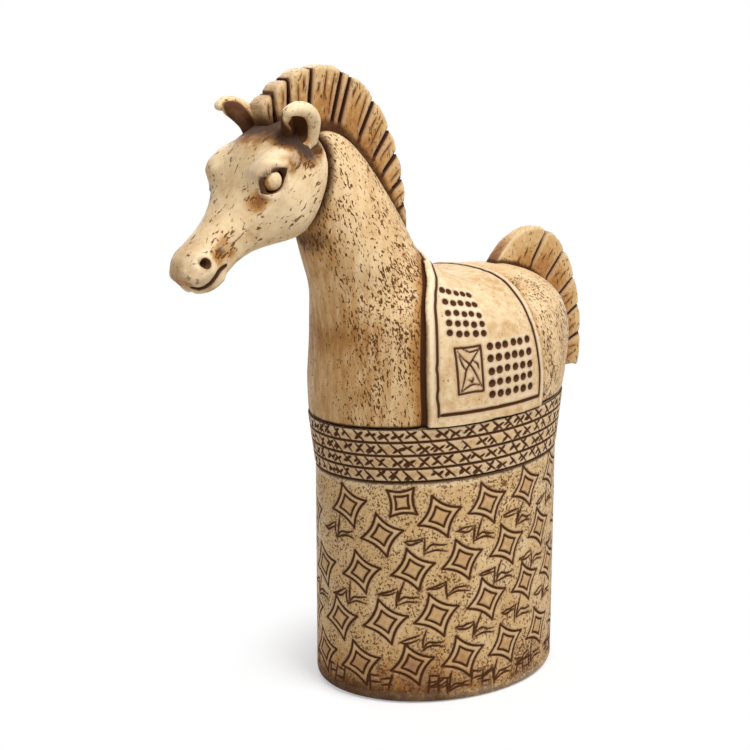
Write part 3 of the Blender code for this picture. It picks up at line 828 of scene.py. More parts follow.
class DrumPattern:
    """Cuts the drum's pattern and keeps what lies inside the diamonds."""

    def __init__(self, carving, settings):
        self.carving = carving
        self.settings = settings
        self.oval = drum_oval()
        points = carving.points
        turn = np.arctan2(points[:, 1] / self.oval.axes[1], points[:, 0] / self.oval.axes[0]) % (2 * math.pi)
        self.flat = np.stack([np.interp(turn, self.oval.turns, self.oval.arcs), points[:, 2]], 1)
        self.inside = np.zeros(len(points))
        self.core = np.zeros(len(points))

    def offsets(self, flat, centre):
        """Arc and height from a centre, the short way round the drum."""
        away = flat - centre
        away[:, 0] = (away[:, 0] + self.oval.round / 2) % self.oval.round - self.oval.round / 2
        return away

    def diamond(self, centre, radius, tilt):
        """Two outlines, the inner one with fuller sides and a finer line."""
        settings = self.settings
        for share, fullness, line in ((1.0, 1.0, 1.0), (settings.inner, 1.3, 0.9)):
            waist = settings.waist * radius / settings.radius * share * fullness
            for k in range(4):
                side = star_side(radius * share, waist, tilt + k * math.pi / 2)
                path = on_drum(self.oval, side + centre)
                self.carving.stroke(path, settings.line * line, settings.depth, 0.2)
        across, up = np.abs(turned(self.offsets(self.flat, centre), -tilt)).T
        reach = (across**DIAMOND_POWER + up**DIAMOND_POWER) ** (1 / DIAMOND_POWER) / radius
        self.inside = np.maximum(self.inside, fade(reach, 1.2, 1.0))
        self.core = np.maximum(self.core, fade(reach, 0.62, 0.45))

    def mark(self, foot, hand):
        """Uneven strokes about the foot of a diamond; now and then one is left out."""
        tilt = math.radians(hand.uniform(-9, 9))
        for stroke in MARK_STROKES:
            uneven = np.array(stroke) + shake(hand, 0.5, len(stroke))
            flat = turned(smooth_path(uneven * MM, 3), tilt)
            if hand.random() > MARK_SKIP:
                width = self.settings.line * hand.uniform(0.75, 0.95)
                self.carving.stroke(on_drum(self.oval, flat + foot), width, self.settings.depth * 0.7, 0.5)

    def cut(self):
        """Rows of leaning diamonds, a mark below each, all a little uneven as if cut by hand."""
        hand = random.Random(DRUM_SEED)
        settings = self.settings
        arc, z, radius, tilt = STRAY_SQUARE
        centres = [np.array([arc, z]) * MM]
        self.diamond(centres[0], radius * MM, math.radians(tilt))
        for row, (height, rise, aside) in enumerate(DIAMOND_ROWS):
            for k in range(settings.columns):
                turn = 2 * math.pi * (k + aside) / settings.columns
                crowded = turn - settings.crowding * math.sin(turn)
                arc = settings.anchor + self.oval.round / (2 * math.pi) * crowded
                centre = np.array([arc, (height + rise * math.sin(turn)) * MM])
                if row == 0 and k in MOVED_DIAMONDS:
                    centre = np.array(MOVED_DIAMONDS[k]) * MM
                centre += shake(hand, 0.7, 1)[0] * MM
                tilt = settings.tilt + math.radians(hand.uniform(-3, 3))
                self.diamond(centre, settings.radius * hand.uniform(0.95, 1.03), tilt)
                centres.append(centre)
        for centre in centres[1:]:
            foot = centre + np.array(MARK_SHIFT) * MM
            if foot[1] > MARK_HEIGHT and not self.crowded(foot, centres):
                self.mark(foot, hand)
        for centre in centres[-settings.columns:]:
            self.ladder(np.array([centre[0] + hand.uniform(*LADDER_ASIDE), LADDER_HEIGHT]), hand)

    def ladder(self, foot, hand):
        """Rungs and posts of a motif near the drum's foot."""
        for start, end in LADDER_STROKES:
            uneven = np.array([start, end]) + shake(hand, 0.8, 2)
            path = on_drum(self.oval, np.linspace(*uneven, 4) * LADDER_SIZE + foot)
            if hand.random() > LADDER_SKIP:
                width = self.settings.line * hand.uniform(0.7, 0.9)
                self.carving.stroke(path, width, self.settings.depth * 0.6, 0.4)

    def crowded(self, foot, centres):
        """Tells whether a mark would run into a diamond."""
        for tip in MARK_TIPS:
            away = self.offsets(np.array(centres), foot + np.array(tip) * MM)
            if (np.hypot(*away.T) < 0.7 * self.settings.radius).any():
                return True
        return False


class DressPedestal(bpy.types.Operator):
    """Drum wall with rows of hollow-sided diamonds."""

    bl_idname = "horse.dress_pedestal"
    bl_label = "Dress pedestal"

    def execute(self, context):
        settings = context.scene.horse_drum
        wall = drum_skin("pedestal_wall")
        carving = Carving(wall)
        pattern = DrumPattern(carving, settings)
        pattern.cut()
        carving.finish()
        x, _, z = points_of(wall).T
        top = leaned(x, np.full(len(x), DRUM_TOP))
        front = fade(x, 10 * MM, -50 * MM)
        foot = fade(z, 17 * MM, 2 * MM) * (0.5 + 0.5 * front)
        # Painted shade in the strip just under the girdle; darker towards the foot, more at the front
        grime = np.maximum(0.72 * foot, fade(z, top - 2.2 * MM, top))
        low = fade(z, 34 * MM, 4 * MM)
        arc, height, reach = (size * MM for size in DRUM_SMUDGE)
        smudge = bell(np.hypot(pattern.flat[:, 0] - arc, z - height), reach)
        stain = 0.44 * pattern.core + 0.95 * low * (0.45 + 0.55 * front) + 0.5 * smudge
        speckled = (1 - pattern.inside) * (0.85 + 0.3 * low) + 0.2 * low
        finish = resin("carved_drum_resin", "tan", cloud=26, warm=0.4, grain=(1.05, 1.05, 1.2), wear=0.2)
        dress(wall, finish, speckled, grime, stain)
        place(wall, "pedestal_shell", "carved_resin")
        return {"FINISHED"}


# Girdle

# Fineness of the girdle's skin, and the casting's face, thickness, edges and flare
GIRDLE_ROWS_FINE = 62
GIRDLE_COLUMNS = 720
GIRDLE_PROUD = 0.4 * MM
GIRDLE_THICK = 4 * MM
GIRDLE_GAP = 0.3 * MM
GIRDLE_SPAN = (DRUM_TOP + GIRDLE_GAP, GIRDLE_TOP - GIRDLE_GAP)
GIRDLE_FLARE = (4.5 * MM, 0.5 * MM)
# Barbs of a tick: which way they point, and how often there is one
BARBS = ((-1, 1.0), (-1, 0.6), (1, 0.8))
GIRDLE_SEED = 5


def girdle_ring(inset, z, columns=GIRDLE_COLUMNS, shift=0.0):
    """Points round the girdle, which widens upwards."""
    share = (z - DRUM_TOP) / (GIRDLE_TOP - DRUM_TOP)
    turns = (np.arange(columns) + shift) * 2 * math.pi / columns
    x = (DRUM_HIGH.x + GIRDLE_FLARE[0] * share - inset) * np.cos(turns)
    y = (DRUM_HIGH.y + GIRDLE_FLARE[1] * share - inset) * np.sin(turns)
    return np.stack([x, y, z + GIRDLE_LEAN * x], 1)


def girdle_point(turn, z):
    """One point of the girdle's face; turn counts in whole rounds."""
    return girdle_ring(-GIRDLE_PROUD, z, 1, turn)[0]


def cut_girdle(carving, settings):
    """Lines between the rows, and in each row slanting strokes with short thick barbs."""
    hand = random.Random(GIRDLE_SEED)
    low, high = GIRDLE_SPAN
    row = (high - low) / settings.rows
    step = 1 / settings.ticks
    for k in range(settings.rows + 1):
        ring = girdle_ring(-GIRDLE_PROUD, low + k * row, 180)
        carving.stroke(np.vstack([ring, ring[:1]]), settings.line, settings.depth)

    def cut(start, end, width):
        ends = np.array([start, end])
        path = [girdle_point(turn * step, low + up * row) for turn, up in np.linspace(*ends, 4)]
        carving.stroke(path, settings.tick * width, settings.depth * 0.8, 0.6)

    for k in range(settings.rows):
        for i in range(settings.ticks):
            middle = np.array([i - 0.85 * k + hand.uniform(-0.13, 0.13), k + hand.uniform(0.45, 0.55)])
            slant = np.array([hand.uniform(0.3, 0.48), -hand.uniform(0.36, 0.46)])
            cut(middle - slant, middle + slant, hand.uniform(0.85, 1.15))
            for sign, chance in BARBS:
                if hand.random() < chance:
                    root = middle + slant * hand.uniform(-0.35, 0.35)
                    barb = np.array([hand.uniform(0.28, 0.42), hand.uniform(0.16, 0.32)])
                    cut(root, root + sign * barb, hand.uniform(1.1, 1.6))


class DressGirdle(bpy.types.Operator):
    """Girdle ring with lines and crossed ticks."""

    bl_idname = "horse.dress_girdle"
    bl_label = "Dress girdle"

    def execute(self, context):
        low, high = GIRDLE_SPAN
        rings = [girdle_ring(GIRDLE_THICK, low)]
        rings += [girdle_ring(-GIRDLE_PROUD, z) for z in np.linspace(low, high, GIRDLE_ROWS_FINE)]
        rings += [girdle_ring(GIRDLE_THICK, high)]
        band = grid_item("girdle_ring", np.array(rings), True, True)
        carving = Carving(band)
        cut_girdle(carving, context.scene.horse_girdle)
        carving.finish()
        finish = resin("hatched_girdle_resin", "tan", cloud=22, warm=0.3, grain=(1.0, 1.0, 1.2), halo=0.35)
        stain = 0.2 + 0.22 * fade(points_of(band)[:, 0], 0, -60 * MM)
        dress(band, finish, speckled=0.3, stain=stain)
        place(band, "girdle_band", "carved_resin")
        return {"FINISHED"}


# Torso and saddle cloth

# Edges of the saddle cloth on a flank, from the ridge down: place along the horse, height over the girdle
CLOTH_FRONT = ((-6, 75), (-14, 72), (-27, 69.5), (-33, 60), (-38.5, 47), (-41, 24), (-40.5, 0))
CLOTH_REAR = ((24.5, 75), (24.5, 65), (20, 61), (18, 45), (20, 30), (22, 17), (22, 0))
# Middle of the body's section, fineness of the cloth's skin, and its gap over the girdle
CLOTH_CENTRE = 165 * MM
CLOTH_ROWS = 336
CLOTH_COLUMNS = 128
CLOTH_FOOT = 0.6 * MM
# Turns between which the flank meets the girdle, a level to look for an edge from, and rounds of each search
FOOT_TURNS = (math.pi / 2, math.pi * 0.86)
FOOT_ROUNDS = 18
EDGE_LEVEL = GIRDLE_TOP + 40 * MM
EDGE_ROUNDS = 7
# Depths of the border lines, the line along the foot and the panel's strokes
BORDER_DEPTH = 0.7 * MM
FOOT_LINE_DEPTH = 0.8 * MM
PANEL_DEPTH = 0.55 * MM
# How far out to the side a mark starts before it is dropped onto the cloth
OUTSIDE = 0.2
# Heights over the foot between which the cloth's slope is read, to hang on below them
HEM_LEVELS = (4 * MM, 9 * MM)
# The rear border as a share of the front one, the roll of the edges and the raised rear hem
REAR_BORDER = 0.78
EDGE_ROLL = 0.7 * MM
HEM_RISE = 0.35 * MM
# Skin of the torso: size of a voxel, rounds of smoothing; then further rounds above these two levels
TORSO_SKIN = (0.92 * MM, 7)
TORSO_ROUNDS = 110
TORSO_LEVELS = (GIRDLE_TOP + 9 * MM, GIRDLE_TOP + 26 * MM)
# Channels beside the cloth: depth for their width, the rear one's width as a share of the front one's,
# and the reach of their stain
GROOVE_DEPTH = 0.42
REAR_GROOVE = 0.55
GROOVE_STAIN = 7 * MM
# Painted shade and dashes below the jaw, and a smudge across the chest:
# place along the horse, height, reach along and up
JAW_SHADE_AND_DASHES = (-79.5, 222.0, 6.5, 6.5)
CHEST_SMUDGE = (-66.0, 176.0, 9.0, 6.5)
# Two fields of dots on a flank: rows, columns, size of the dots as a share, and the corners, top then bottom,
# front then rear, each as place along the horse and height
DOT_FIELDS = (
    (5, 5, 0.84, ((-27.6, 198.0), (-13.3, 195.2), (-30.9, 179.8), (-14.5, 178.4))),
    (5, 6, 1.0, ((-12.4, 172.4), (10.6, 173.2), (-11.8, 149.9), (12.0, 150.8))),
)
CLOTH_SEED = 23
PANEL = ((-30.0, 172.9), (-17.0, 173.4), (-28.6, 151.5), (-16.4, 152.3))
# Strokes in the panel, its frame's sides first, as shares of its width and height from the lower front corner
PANEL_SIDES = 4
PANEL_STROKES = (
    ((0.02, 1.0), (0.5, 0.99), (0.99, 1.0)),
    ((0.99, 1.0), (0.985, 0.5), (1.0, 0.0)),
    ((1.0, 0.0), (0.5, 0.015), (0.0, 0.0)),
    ((0.0, 0.0), (0.015, 0.5), (0.02, 1.0)),
    ((0.1, 0.94), (0.28, 0.76), (0.5, 0.63), (0.68, 0.44), (0.8, 0.28), (0.95, 0.08)),
    ((0.97, 0.95), (0.76, 0.82), (0.5, 0.63), (0.34, 0.5), (0.26, 0.32), (0.1, 0.05)),
    ((0.3, 0.97), (0.55, 0.89), (0.78, 0.91), (0.97, 0.95)),
    ((0.1, 0.05), (0.4, 0.15), (0.62, 0.18), (0.95, 0.12)),
    ((0.12, 0.84), (0.24, 0.62), (0.36, 0.5)),
    ((0.62, 0.7), (0.8, 0.62), (0.84, 0.5)),
    ((0.42, 0.3), (0.55, 0.24), (0.6, 0.34)),
)


def cloth_edge(points, z):
    """Place of an edge of the cloth at a height."""
    path = smooth_path(points, 8)[::-1]
    return np.interp((z - GIRDLE_TOP) / MM, path[:, 1], path[:, 0]) * MM


class Flank:
    """Finds places on the torso's skin under the saddle cloth."""

    def __init__(self, item):
        self.skin = skin_tree(item)

    def at(self, x, turn):
        """Where a ray from the body's middle meets the skin, and which way it faces there."""
        ray = Vector((0, math.sin(turn), math.cos(turn)))
        spot, normal, _, _ = self.skin.ray_cast(Vector((x, 0, CLOTH_CENTRE)), ray)
        if spot is None:
            raise RuntimeError("the cloth misses the torso")
        return spot, normal

    def foot(self, x):
        """Turn at which the flank meets the girdle."""
        target = GIRDLE_TOP + GIRDLE_LEAN * x + CLOTH_FOOT
        low, high = FOOT_TURNS
        for _ in range(FOOT_ROUNDS):
            middle = (low + high) / 2
            low, high = (middle, high) if self.at(x, middle)[0].z > target else (low, middle)
        return low

    def edge(self, points, share):
        """Place of an edge of the cloth at a share of the way from the ridge to the foot."""
        x = cloth_edge(points, EDGE_LEVEL)
        for _ in range(EDGE_ROUNDS):
            x = 0.5 * (x + cloth_edge(points, self.at(x, self.foot(x) * share)[0].z))
        return x


def cloth_grids(flank):
    """Points and normals of the torso under the cloth, from the left foot over the ridge to the right one."""
    spots = np.empty((CLOTH_ROWS, CLOTH_COLUMNS, 3))
    normals = np.empty_like(spots)
    for i, share in enumerate(np.linspace(-1, 1, CLOTH_ROWS)):
        front, rear = flank.edge(CLOTH_FRONT, share), flank.edge(CLOTH_REAR, share)
        columns = np.linspace(front, rear, CLOTH_COLUMNS)
        known = [front, (front + rear) / 2, rear]
        feet = np.interp(columns, known, [flank.foot(x) for x in known])
        for j, x in enumerate(columns):
            spots[i, j], normals[i, j] = flank.at(x, feet[j] * share)
    return spots, normals


def running(points):
    """Length run along a row of points."""
    return np.concatenate([[0], np.cumsum(np.linalg.norm(np.diff(points, axis=0), axis=1))])


def cloth_insets(spots):
    """Distance of each point of the cloth from its front edge, its rear edge and its foot."""
    front = np.array([running(row) for row in spots])
    rear = front[:, -1:] - front
    down = np.array([running(spots[:, j]) for j in range(spots.shape[1])]).T
    return front, rear, np.minimum(down, down[-1:] - down)


def hang_straight(spots, normals, foot):
    """Lets the cloth hang on straight below its lower border, where the torso rounds off."""
    half = len(spots) // 2
    for rows in (range(half), range(len(spots) - 1, half, -1)):
        rows = np.array(rows)
        for j in range(spots.shape[1]):
            low, high = (rows[int(np.argmax(foot[rows, j] > level))] for level in HEM_LEVELS)
            below = [i for i in rows if foot[i, j] < HEM_LEVELS[0]]
            slope = (spots[low, j] - spots[high, j]) / (spots[low, j, 2] - spots[high, j, 2])
            drop = spots[below, j, 2] - spots[low, j, 2]
            spots[below, j, 1] = spots[low, j, 1] + slope[1] * drop
            normals[below, j] = normals[low, j]


def blend_corners(corners, u, v):
    """A point inside four corners: u from front to rear, v from top to bottom."""
    a, b, c, d = (np.array(corner) for corner in corners)
    return (a * (1 - u) + b * u) * (1 - v) + (c * (1 - u) + d * u) * v


class ClothPattern:
    """Punches the dots and draws the panel and the border lines on the cloth."""

    def __init__(self, carving, grid, insets, settings):
        self.carving = carving
        self.grid = grid
        self.front, self.rear, self.foot = insets
        self.settings = settings
        self.tree = skin_tree(carving.item)

    def on_side(self, flat, side):
        """Point of a flank from its place along the horse and its height."""
        start = Vector((flat[0] * MM, side * OUTSIDE, flat[1] * MM))
        spot = self.tree.ray_cast(start, Vector((0, -side, 0)))[0]
        if spot is None:
            raise RuntimeError("a mark misses the cloth")
        return np.array(spot)

    def contour(self, field, level, rows, columns):
        """Points of the grid where a distance field passes a level, one for each row or column."""
        path = []
        for i in rows:
            j = int(np.argmin(np.abs(field[i, columns] - level)))
            path.append(self.grid[i, columns[j]])
        return np.array(path)

    def borders(self):
        """Lines along the front, the rear and the foot."""
        border, line = self.settings.border, self.settings.line
        every = range(self.grid.shape[1])
        rows = [i for i in range(self.grid.shape[0]) if self.foot[i, 10] > border * 1.25]
        front = self.contour(self.front, border, rows, every)
        rear = self.contour(self.rear, border * REAR_BORDER, rows, every)
        self.carving.stroke(relaxed(front), line, BORDER_DEPTH)
        self.carving.stroke(relaxed(rear), line * 0.9, BORDER_DEPTH)
        for side in SIDES:
            height = GIRDLE_TOP + border * 1.2
            start = cloth_edge(CLOTH_FRONT, height) + border
            end = cloth_edge(CLOTH_REAR, height) - border * 0.75
            along = np.linspace(start, end, 24)
            path = [self.on_side((x / MM, (height + GIRDLE_LEAN * x) / MM), side) for x in along]
            self.carving.stroke(path, line * 1.35, FOOT_LINE_DEPTH)

    def flanks(self):
        """Dots and the framed panel on both flanks."""
        hand = random.Random(CLOTH_SEED)
        for side in SIDES:
            for rows, columns, share, corners in DOT_FIELDS:
                for r in range(rows):
                    for c in range(columns):
                        flat = blend_corners(corners, c / (columns - 1), r / (rows - 1))
                        flat = flat + shake(hand, 0.3, 1)[0]
                        width = self.settings.dot * share * hand.uniform(0.94, 1.06)
                        self.carving.pit(self.on_side(flat, side), width, self.settings.dot_depth)
            for k, stroke in enumerate(PANEL_STROKES):
                flat = [blend_corners(PANEL, u, 1 - v) for u, v in smooth_path(stroke, 4)]
                path = [self.on_side(f, side) for f in flat]
                line, taper = (0.85, 0.0) if k < PANEL_SIDES else (0.7, 0.5)
                self.carving.stroke(path, self.settings.line * line, PANEL_DEPTH, taper)


def relaxed(path):
    """A path with its steps evened out."""
    for _ in range(6):
        path[1:-1] = 0.5 * path[1:-1] + 0.25 * (path[:-2] + path[2:])
    return path


class DressCloth(bpy.types.Operator):
    """Saddle cloth with border lines, dots and a framed panel on each flank."""

    bl_idname = "horse.dress_cloth"
    bl_label = "Dress saddle cloth"

    def execute(self, context):
        settings = context.scene.horse_cloth
        spots, normals = cloth_grids(Flank(bpy.data.objects["torso_skin"]))
        insets = cloth_insets(spots)
        hang_straight(spots, normals, insets[2])
        nearest = np.minimum(np.minimum(insets[0], insets[1]), insets[2] + 0.5 * MM)
        roll = np.clip(nearest / EDGE_ROLL, 0, 1)
        lift = settings.thickness * (0.3 + 0.7 * np.sqrt(1 - (1 - roll) ** 2))
        hem = insets[1] / (settings.border * REAR_BORDER)
        lift += HEM_RISE * np.clip(np.sin(np.clip(hem, 0, 1) * math.pi), 0, 1)
        grid = spots + normals * lift[..., None]
        cloth = grid_item("saddle_cloth_skin", grid)
        carving = Carving(cloth)
        pattern = ClothPattern(carving, grid, insets, settings)
        pattern.borders()
        pattern.flanks()
        carving.finish()
        edge = nearest.ravel()
        calm(cloth, "hollow", fade(edge, 0.6 * MM, 3.0 * MM))
        x, _, z = grid.reshape(-1, 3).T
        crown = 0.16 * fade(x, -12 * MM, 10 * MM) * fade(z, 168 * MM, 185 * MM)
        low = 0.15 + 0.13 * fade(z, 190 * MM, 160 * MM)
        finish = resin("cloth_ivory", "ivory", cloud=30, warm=0.55, grain=(1.0, 1.0, 1.6), halo=0.5, wear=0.6)
        # Painted shade along the cloth's edges, where it meets the torso and girdle
        dress(cloth, finish, 0.05 + 0.35 * crown, 0.6 * fade(edge, 0.5 * MM, 0), crown + low)
        solid = cloth.modifiers.new("thickness", "SOLIDIFY")
        solid.thickness = settings.thickness * 0.4
        solid.offset = -1
        place(cloth, "saddle_cloth", "ivory_resin")
        return {"FINISHED"}


class DressTorso(bpy.types.Operator):
    """Body and neck, dashed with wash, with a channel before the saddle cloth."""

    bl_idname = "horse.dress_torso"
    bl_label = "Dress torso"

    def execute(self, context):
        groove = context.scene.horse_cloth.groove
        torso = skin_of("torso_and_neck", "torso_skin", *TORSO_SKIN)
        even_out(torso, TORSO_ROUNDS, fade(points_of(torso)[:, 2], *TORSO_LEVELS))
        flank = Flank(torso)
        carving = Carving(torso)
        edges = []
        for points, way, width in ((CLOTH_FRONT, -1, groove), (CLOTH_REAR, 1, groove * REAR_GROOVE)):
            path = []
            for share in np.linspace(1, -1, 90):
                x = flank.edge(points, share) + way * width * GROOVE_DEPTH
                path.append(np.array(flank.at(x, flank.foot(x) * share)[0]))
            carving.stroke(np.array(path), width, width * GROOVE_DEPTH)
            edges.append(np.array(path))
        carving.finish()
        spots = points_of(torso)
        x, _, z = (spots / MM).T
        up = z - GIRDLE_TOP / MM
        before, behind = (bell(gaps_to(smooth_path(edge, 4), spots), GROOVE_STAIN) for edge in edges)
        ahead = cloth_edge(CLOTH_FRONT, spots[:, 2]) / MM - x
        chest = fade(ahead, 54, 12) * fade(up, 110, 62)
        neck = fade(up, 58, 80) * (0.25 + 0.5 * fade(x + 0.42 * up, -62, -34))
        jaw, blush = (
            bell(np.hypot((x - along) / long, (z - height) / tall), 1)
            for along, height, long, tall in (JAW_SHADE_AND_DASHES, CHEST_SMUDGE)
        )
        normals = normals_of(torso)
        speckled = 0.25 + 0.68 * chest + 0.4 * before + 0.6 * neck - 0.08 * fade(x, 18, 26) + 0.25 * behind
        speckled *= 1 - 0.8 * fade(np.abs(normals[:, 1]), 0.55, 0.12)
        speckled = np.clip(np.minimum(speckled, 1.0) + jaw + 0.3 * blush, 0, 1.4)
        # Painted shade on faces that look forward, put into the stain and shade field
        front_shade = fade(-normals[:, 0], 0.3, 0.95)
        stain = 0.9 * before**2 + 0.25 * behind + 0.11 * chest + 0.22 * neck + 0.4 * (front_shade + blush)
        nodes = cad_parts
        # Painted shade below the jaw and where the torso meets the head, mane, tail and girdle
        grime = np.maximum.reduce([
            0.6 * jaw,
            touching(spots, nodes["head"], 5.2 * MM),
            touching(spots, nodes["mane_crest"], 3.6 * MM),
            touching(spots, nodes["tail_fin"], 2.2 * MM),
            fade(up - GIRDLE_LEAN * x, 2.2, 0.2),
        ])
        finish = resin(
            "torso_honey", "honey", cloud=26, warm=0.4, grain=(0.9, 0.9, 2.4), turn=-20,
            dark=1.0, wear=0.0, streak=3.5,
        )
        dress(torso, finish, speckled, grime, stain)
        place(torso, "torso_and_neck", "ivory_resin")
        return {"FINISHED"}


# Head

# Skin of the head: size of a voxel, rounds of smoothing
HEAD_SKIN = (0.55 * MM, 12)
# Depth of the muzzle's tip that is drawn in to stay inside the casting
MUZZLE_SOFT = 2 * MM
# Strokes and swellings of the right side, in the head's frame: along the muzzle, above, out.
# The left side mirrors them.
BROW = ((11.0, 17.8, 15.2), (5.4, 18.6, 16.4), (-0.6, 17.0, 17.4), (-4.2, 12.4, 19.4))
NOSTRIL = (54.9, 6.0, 9.1)
MOUTH = (
    (62.6, -1.0, 4.4), (60.7, -3.2, 6.9), (57.4, -3.8, 9.0),
    (53.0, -2.8, 10.2), (50.1, -2.6, 10.4), (46.5, -3.6, 9.9),
)
UPPER_LIP = ((62.0, 5.6, 3.0), (59.5, 1.6, 8.0), (54.0, 1.0, 10.0))
LOWER_LIP = ((61.0, -5.0, 3.0), (57.4, -7.4, 6.0), (51.0, -7.2, 7.6))
CHEEK = ((-15.0, -4.0, 18.6), (-12.0, -13.0, 17.4), (-5.0, -20.0, 15.0), (3.0, -23.0, 11.0))
FACE_CREST = ((19.0, 3.0, 17.0), (30.0, 3.0, 12.4), (42.0, 3.0, 10.0))
# Almond between the lids: along, above, half length, half height, tilt
EYE_DISH = (8.7, 11.0, 7.5, 5.3, math.radians(-3))
# Swellings of the head: path, reach, height
HEAD_SWELLS = (
    (BROW, 4.7, 3.1), (CHEEK, 5.0, 0.9), (FACE_CREST, 3.0, 0.5), (UPPER_LIP, 2.6, 1.0), (LOWER_LIP, 2.6, 1.4),
)
# Reach and height of the lids, and how far they stand off the almond
UPPER_LID = (1.9, 1.0)
LOWER_LID = (1.8, 0.7)
LID_OFFSET = 1.2
LID_OUT = 19.0
# Nostril: reach and height of its swelling, width and depth of its pit
NOSTRIL_SIZES = (4.4, 1.6, 4.8, 2.8)
# Width and depth of the mouth, and depth of the eye's dish
MOUTH_SIZES = (2.6, 2.0)
DISH_DEPTH = 1.2
# Stained spots of the head: place, reach, strength
HEAD_STAINS = (
    ((17.6, 9.4, 16.8), 3.2, 1.1),
    ((20.7, 7.6, 15.4), 3.4, 0.7),
    ((47.2, 3.2, 10.2), 3.0, 1.0),
    ((43.5, 4.0, 9.8), 2.6, 0.9),
    ((40.0, 4.8, 9.6), 2.4, 0.5),
    ((41.1, -1.7, 10.1), 3.4, 0.75),
    ((48.5, -0.6, 10.4), 2.4, 0.6),
    ((58.8, 1.0, 8.4), 2.2, 0.5),
    ((-3.6, 11.6, 20.4), 4.0, 0.9),
    ((-9.0, 15.0, 18.6), 5.0, 0.7),
    ((-0.6, 11.0, 20.6), 3.0, 0.7),
    ((20.0, 17.0, 0.0), 6.0, 0.3),
    ((35.0, 13.0, 0.0), 6.0, 0.3),
    ((48.0, 11.0, 0.0), 5.0, 0.3),
    ((-4.3, 22.1, 4.0), 6.0, 0.45),
    ((28.5, -1.9, 13.0), 4.0, 0.4),
    ((22.0, 10.0, 13.5), 5.0, 0.3),
    ((63.0, 2.0, 3.0), 4.2, 0.75),
    ((62.0, 7.0, 0.0), 8.0, 0.4),
    ((56.0, -6.4, 6.0), 4.0, 0.6),
)

# Clusters of dashes: place, reach, strength
HEAD_DASHES = (
    ((-7.0, 12.0, 20.0), 7.0, 0.8),
    ((-13.0, -2.0, 19.0), 8.0, 0.5),
    ((-2.0, -14.0, 18.0), 8.0, 0.55),
    ((13.0, -9.0, 18.0), 7.0, 0.5),
    ((27.0, -3.0, 14.0), 8.0, 0.5),
    ((20.0, 11.0, 13.0), 6.0, 0.5),
    ((36.0, 7.5, 9.0), 7.0, 0.55),
    ((43.0, 2.0, 10.0), 6.0, 0.9),
    ((50.0, 8.0, 7.0), 5.0, 0.5),
    ((59.0, 2.0, 7.0), 5.0, 0.5),
    ((2.0, 21.0, 8.0), 7.0, 0.35),
)

EARS = ((-1, "left_ear"), (1, "right_ear"))
EYES = ((-1, "left_eye"), (1, "right_eye"))
# Root of an ear in the head's frame, how much higher the right one stands, and the ear's stretch
EAR_ALONG = -20.8
EAR_ABOVE = 9.6
EAR_OUT = 18.0
RIGHT_EAR_RAISE = 1.4
EAR_SIZE = (1.04, 1.0, 0.92)
EAR_LEAN = math.radians(14)
EAR_SPLAY = math.radians(14)
# Parts of an ear: points (forward is -X, then outward, then up) with the radius of the roll there
EAR_REAR_RIM = (
    (-0.5, -2.4, -3.0, 4.0), (0.0, -0.8, 4.0, 3.8), (-1.0, 0.6, 10.0, 3.7),
    (-5.0, 1.4, 15.4, 3.6), (-10.2, 1.2, 18.0, 3.4), (-15.0, 0.2, 17.4, 2.4),
)
EAR_INNER_RIM = (
    (-8.5, -6.0, -3.0, 3.2), (-9.0, -6.0, 4.0, 3.0), (-10.0, -5.0, 8.0, 2.9), (-11.4, -3.6, 11.5, 2.7),
    (-12.8, -1.6, 14.6, 2.4),
)
EAR_ROOT = ((-4.0, -4.0, -5.0, 5.5), (-4.0, -4.0, -2.0, 5.0), (-4.0, -5.0, 0.5, 3.4))
# Share of the rear rim's length that the wall reaches up to
EAR_WALL_TOP = 0.9
EAR_WALL_BULGE = 4.6
EAR_WALL_RADIUS = 1.9
EAR_WALL_STEPS = 17
# Skins of an ear and an eye: size of a voxel, rounds of smoothing
EAR_SKIN = (0.42 * MM, 22)
EYE_SKIN = (0.28 * MM, 8)
# Closed ends of a roll: how far they stand out and how wide they are, as shares of the radius
CAP_REACH = 0.6
CAP_WIDTH = 0.5
# A direction that no roll runs in, to lay its rings out from
ROLL_SIDE = (0.2, 1.0, 0.3)
# Line in the hollow of an ear, from which the dark wash spreads
EAR_HOLLOW_LINE = ((-5.0, -3.6, 0.0), (-5.6, -2.6, 7.0), (-8.8, -1.2, 12.0))


class HeadFrame:
    """The head's own axes: along the muzzle, above the brow, out to the right."""

    def __init__(self):
        c, s = math.cos(HEAD_PITCH), math.sin(HEAD_PITCH)
        turn = np.array(Matrix.Rotation(HEAD_TURN, 3, "Z"))
        self.axes = np.array([[-c, 0, -s], [-s, 0, c], [0, 1, 0]]) @ turn.T
        self.origin = turn @ np.array(SKULL - NECK_AXIS) + np.array(NECK_AXIS)

    def point(self, rows, side=1):
        """Scene points from rows in millimetres, mirrored to the left for side -1."""
        return self.origin + (np.asarray(rows, float) * MM * [1, 1, side]) @ self.axes

    def rows(self, points):
        return (points - self.origin) @ self.axes.T / MM


def lid(way):
    """Edge of the upper (1) or lower (-1) lid."""
    along, above, long, tall, tilt = EYE_DISH
    u = np.linspace(-1, 1, 7)
    edge = np.stack([u * long, way * (tall * (1 - u * u) + LID_OFFSET)], 1)
    return np.column_stack([turned(edge, tilt) + (along, above), np.full(len(u), LID_OUT)])


def lid_share(rows):
    """How far across the almond between the lids points lie: 1 on the lids' edges."""
    along, above, long, tall, tilt = EYE_DISH
    u, v = turned(rows[:, :2] - (along, above), -tilt).T
    share = np.abs(v) / (tall * np.maximum(1 - (u / long) ** 2, 0.05))
    return np.where((np.abs(rows[:, 2]) > 12) & (np.abs(u) < long), share, 9.0)


def spots_field(rows, spots):
    """Sum of soft spots, alike on both sides of the head."""
    folded = rows * [1, 1, 0] + np.abs(rows) * [0, 0, 1]
    field = np.zeros(len(rows))
    for place, reach, strength in spots:
        field += strength * bell(np.linalg.norm(folded - place, axis=1), reach)
    return field


